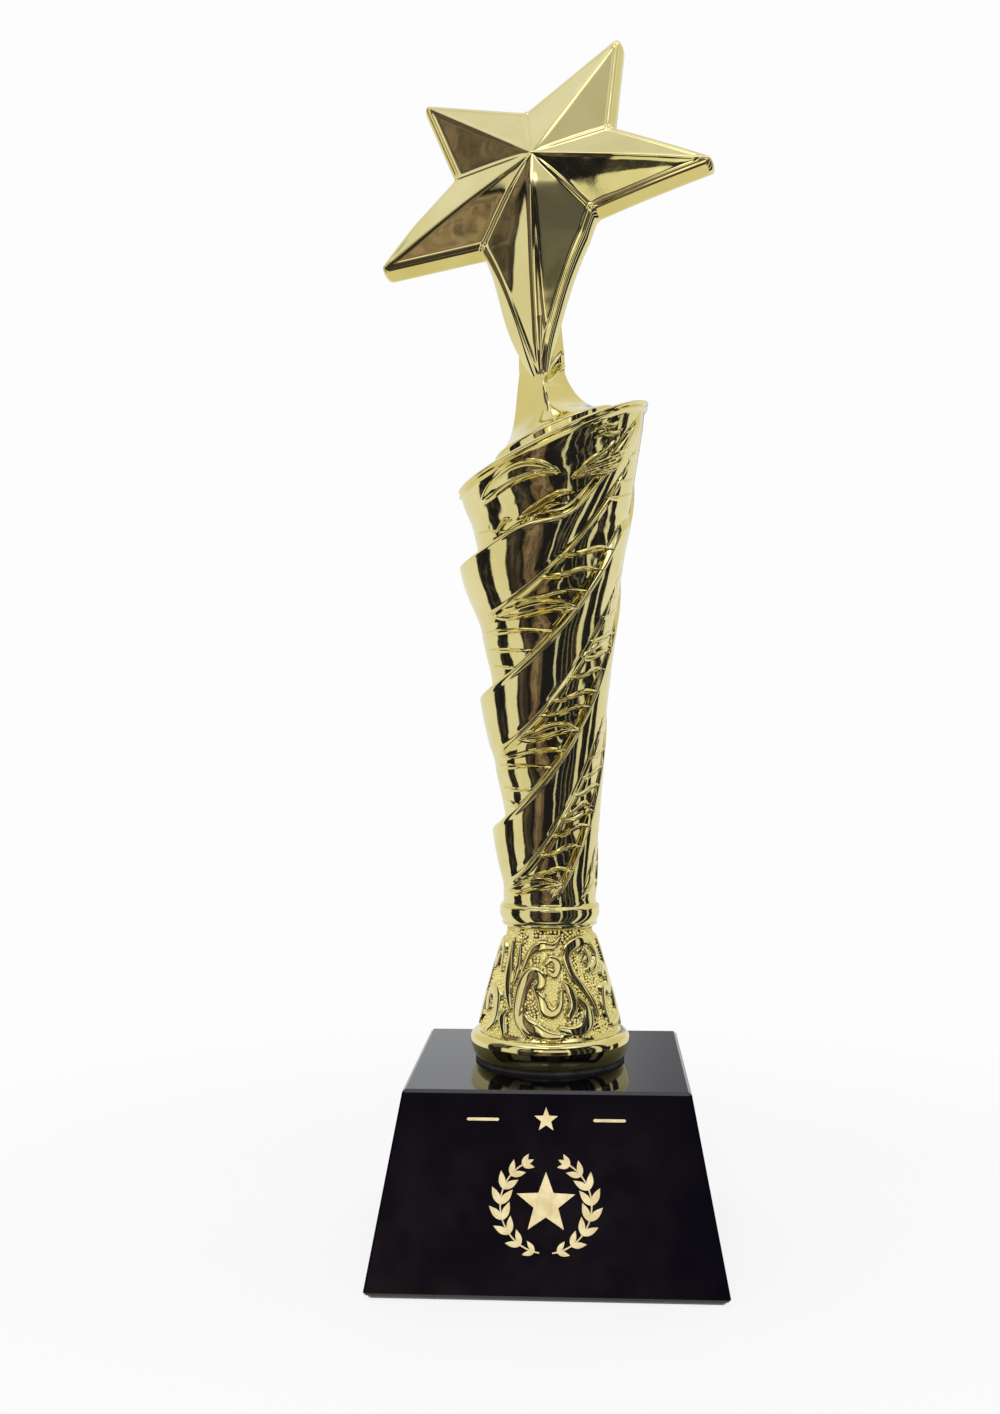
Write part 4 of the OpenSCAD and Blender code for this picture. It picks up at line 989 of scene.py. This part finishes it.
shares = np.concatenate([
    [0.0005, 0.01, 0.022, 0.04], np.linspace(0.06, 0.915, 30), np.linspace(0.925, 1.0, 14)])
rings = []
for s in shares:
    inner = star_apex + (outline - star_apex) * s
    rings.append(bend(np.column_stack([inner, facet_height(inner, s)])))
edge_height = facet_height(outline, 1)
for angle in np.radians(np.linspace(75, -75, 21)):
    swell = rim_swell * (1 - 0.6 * web / arm_web) * math.cos(angle) + web * (1 - math.sin(angle)) / 2
    level = (rim_t / 2 + edge_height) * math.sin(angle) - rim_t / 2
    rings.append(bend(np.column_stack([outline + swell[:, None] * outward, level])))
for s in shares[::-1]:
    inner = star_apex + (outline - star_apex) * s
    behind = star_apex + (outline + web[:, None] * outward - star_apex) * s
    rings.append(bend(np.column_stack([behind, -rim_t - facet_height(inner, s)])))


def turned(points, x_degrees, z_degrees):
    """Points tilted about X and then turned about Z."""
    cx, sx = math.cos(math.radians(x_degrees)), math.sin(math.radians(x_degrees))
    cz, sz = math.cos(math.radians(z_degrees)), math.sin(math.radians(z_degrees))
    tilt = np.array([[1, 0, 0], [0, cx, -sx], [0, sx, cx]])
    spin = np.array([[cz, -sz, 0], [sz, cz, 0], [0, 0, 1]])
    return points @ (spin @ tilt).T


tip_reach = lower_arm - tip_round / 2
tip_point = np.array([*polar(tip_reach, lower_angle),
                      -bend_back * ((tip_reach - bend_from) / (lower_arm - bend_from)) ** bend_power])
star_points = turned(np.concatenate(rings) - tip_point, 90 - star_lean, star_turn) + tip_place
star_faces = grid_faces(len(rings), len(outline))[:, ::-1]
star = make_piece("star_casting", star_points, star_faces, gold)
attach(star, "root")
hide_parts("star")
dress("star_dowel", zinc)

# STUDIO
# Plain pale floor and soft light: white all round and above, with a darker room on the camera's side.
# The polished metal mirrors that room, with its windows, lamps and stained boards, as upright stripes.
def band(value, low, high, soft):
    """1 between low and high with soft ends, in degrees on a value in radians."""
    low, high, soft = (math.radians(x) for x in (low, high, soft))
    return value.ease(low - soft, low + soft) - value.ease(high - soft, high + soft)


def above(value, low, high):
    """Smooth change from 0 at low to 1 at high, in degrees on a value in radians."""
    return value.ease(math.radians(low), math.radians(high))


def scaled(share, colour):
    """A colour times a value."""
    return share.node("ShaderNodeVectorMath", {"operation": "SCALE"}, {0: colour, "Scale": share})


def both(first, second):
    """The sum of two colours."""
    return first.node("ShaderNodeVectorMath", {"operation": "ADD"}, {0: first, 1: second})


world = bpy.data.worlds.new("studio")
bpy.context.scene.world = world
world.use_nodes = True
look = Field(world.node_tree).node("ShaderNodeTexCoord", (), (), "Generated")
look_x, look_y, look_z = look.parts()
bearing = look_x.math("ARCTAN2", look_x, -look_y)
rise = look_z.math("ARCSINE", look_z)
room = (band(bearing, -98, 92, 1.5) + band(bearing, 92, 116, 1.5) * (1 - above(rise, 8, 14))) \
    * above(rise, -56, -46) * (1 - above(rise, 44, 52))
blotches = look.noise(6.0, 2.0, 0.6).ease(0.5, 0.75)
patches = (look.noise(9.0, 3.0, 0.6) * 0.5 + look.noise(38.0, 2.0) * 0.5).ease(0.4, 0.6) * 1.1 + 0.4
room_light = both(scaled(blotches, (0.07, 0.06, 0.05)), (0.014, 0.014, 0.024))
# Each panel: bearing from, to, rise from, to, softness, colour.
panels = (
    (-71, -45, -60, 15, 1.5, (0.78, 0.78, 0.76)), (-61, -45, 15, 42, 1.5, (0.78, 0.78, 0.76)),
    (-46, -30, 31.5, 44, 1.5, (0.76, 0.76, 0.72)),
    (-21.6, -10, 14, 31, 0.8, (0.80, 0.79, 0.66)), (-40, -24, -40, 4, 3, (0.025, 0.02, 0.02)),
    (-14, 30, 9, 28, 3, (0.82, 0.78, 0.66)),
    (27, 31, -60, 36, 1, (0.60, 0.60, 0.58)), (42, 43, -60, 36, 1, (0.26, 0.26, 0.26)),
    (52, 53, -60, 36, 1, (0.26, 0.26, 0.26)), (61, 62, -60, 36, 1, (0.26, 0.26, 0.26)),
    (70, 80, -60, 40, 1.5, (0.72, 0.72, 0.70)), (97, 102, -60, 10, 1, (0.72, 0.72, 0.72)),
    (-4, 14, 28, 48, 4, (0.10, 0.10, 0.10)))
stained_panels = (
    (-100, -72, 33, 48, 3, (0.14, 0.11, 0.10)), (-100, -64, 14, 33, 3, (0.10, 0.08, 0.07)),
    (-42, -34, 8, 26, 3, (0.27, 0.20, 0.165)), (-34, -25, 8, 25, 3, (0.21, 0.18, 0.15)),
    (-16, 3, -40, 6, 3, (0.17, 0.12, 0.105)))
for share, group in ((1.0, panels), (patches, stained_panels)):
    for left, right, low, high, soft, colour in group:
        pane = band(bearing, left, right, soft) * band(rise, low, high, soft) * share
        room_light = both(room_light, scaled(pane, colour))
ceiling = 1.02 - 0.25 * band(bearing, -12, 55, 14) * band(rise, 60, 77, 4) \
    - 0.1 * above(rise, 60, 72) + 1.6 * above(rise, 77, 83)
lamp = band(bearing, -14, -2, 3) * band(rise, 53, 59, 2) * 2 \
    + band(bearing, -62, 62, 6) * band(rise, 52, 62, 3)
far_wall = look_x.ease(-0.07, 0.07) * (1 - look_x.ease(0.14, 0.4)) \
    * look_y.ease(0.0, 0.3) * band(rise, 5, 22, 4)
shaded = far_wall * 0.6 + band(bearing, -3, 24, 4) * band(rise, 44, 62, 4) * 0.55
wide = bearing.math("ABSOLUTE", bearing)
warm = (band(wide, 90, 150, 8) * band(rise, 8, 44, 6) + 1 - above(rise, -50, -28)).least(1.0)
outside = scaled((ceiling + lamp) * (1 - shaded), warm.blend((0.82, 0.83, 0.86, 1), (0.73, 0.70, 0.54, 1)))
light = both(scaled(room, room_light), scaled(1 - room, outside))
seen = look.node("ShaderNodeLightPath", (), (), "Is Camera Ray")
white = (0.98, 0.98, 0.98, 1)
light = seen.blend(light, white)
world.node_tree.links.new(light.socket, world.node_tree.nodes["Background"].inputs["Color"])

floor_paint, shader, place = finish("pale_floor", {"Roughness": 0.9, "Base Color": (0.9, 0.9, 0.9, 1)})
across, along, _ = place.parts()
out = (across * across + along * along) ** 0.5
floor_tree = floor_paint.node_tree
glow = place.node("ShaderNodeEmission", (), {"Color": white, "Strength": 1.0})
mix = place.node("ShaderNodeMixShader", (), {
    0: 0.82 + out.ease(0.1, 0.34) * 0.18, 1: Field(floor_tree, shader.outputs[0]), 2: glow})
floor_tree.links.new(mix.socket, floor_tree.nodes["Material Output"].inputs["Surface"])
floor_sides, floor_radii = 96, (0.01, 60.0, 150.0, 300.0, 500.0)
turn = np.linspace(0, 2 * math.pi, floor_sides, endpoint=False)
floor_points = stacked(np.column_stack([np.cos(turn), np.sin(turn)]), [(r, 0.0) for r in floor_radii])
floor = make_piece("floor", floor_points, grid_faces(len(floor_radii), floor_sides), floor_paint)
floor.visible_glossy = False

fill_data = bpy.data.lights.new("front_fill", "AREA")
fill_data.energy, fill_data.size = 6.0, 0.4
fill = put("front_fill", fill_data)
fill.location = (0.0, -0.9, 0.4)
fill.rotation_euler = (math.radians(70), 0, 0)
fill.visible_glossy = False

focal_pixels, picture_high, sensor = 1534.9, 1414, 36.0
camera_data = bpy.data.cameras.new("camera")
camera_data.sensor_fit = "VERTICAL"
camera_data.sensor_width = camera_data.sensor_height = sensor
camera_data.lens = focal_pixels / picture_high * sensor
camera_data.clip_start = 0.01
camera = put("camera", camera_data)
camera.location = (0.0125, -0.4639, 0.163)
camera.rotation_euler = (math.radians(90 - 0.24), math.radians(0.14), math.radians(3.38))
bpy.context.scene.camera = camera
bpy.context.scene.view_settings.view_transform = "Standard"
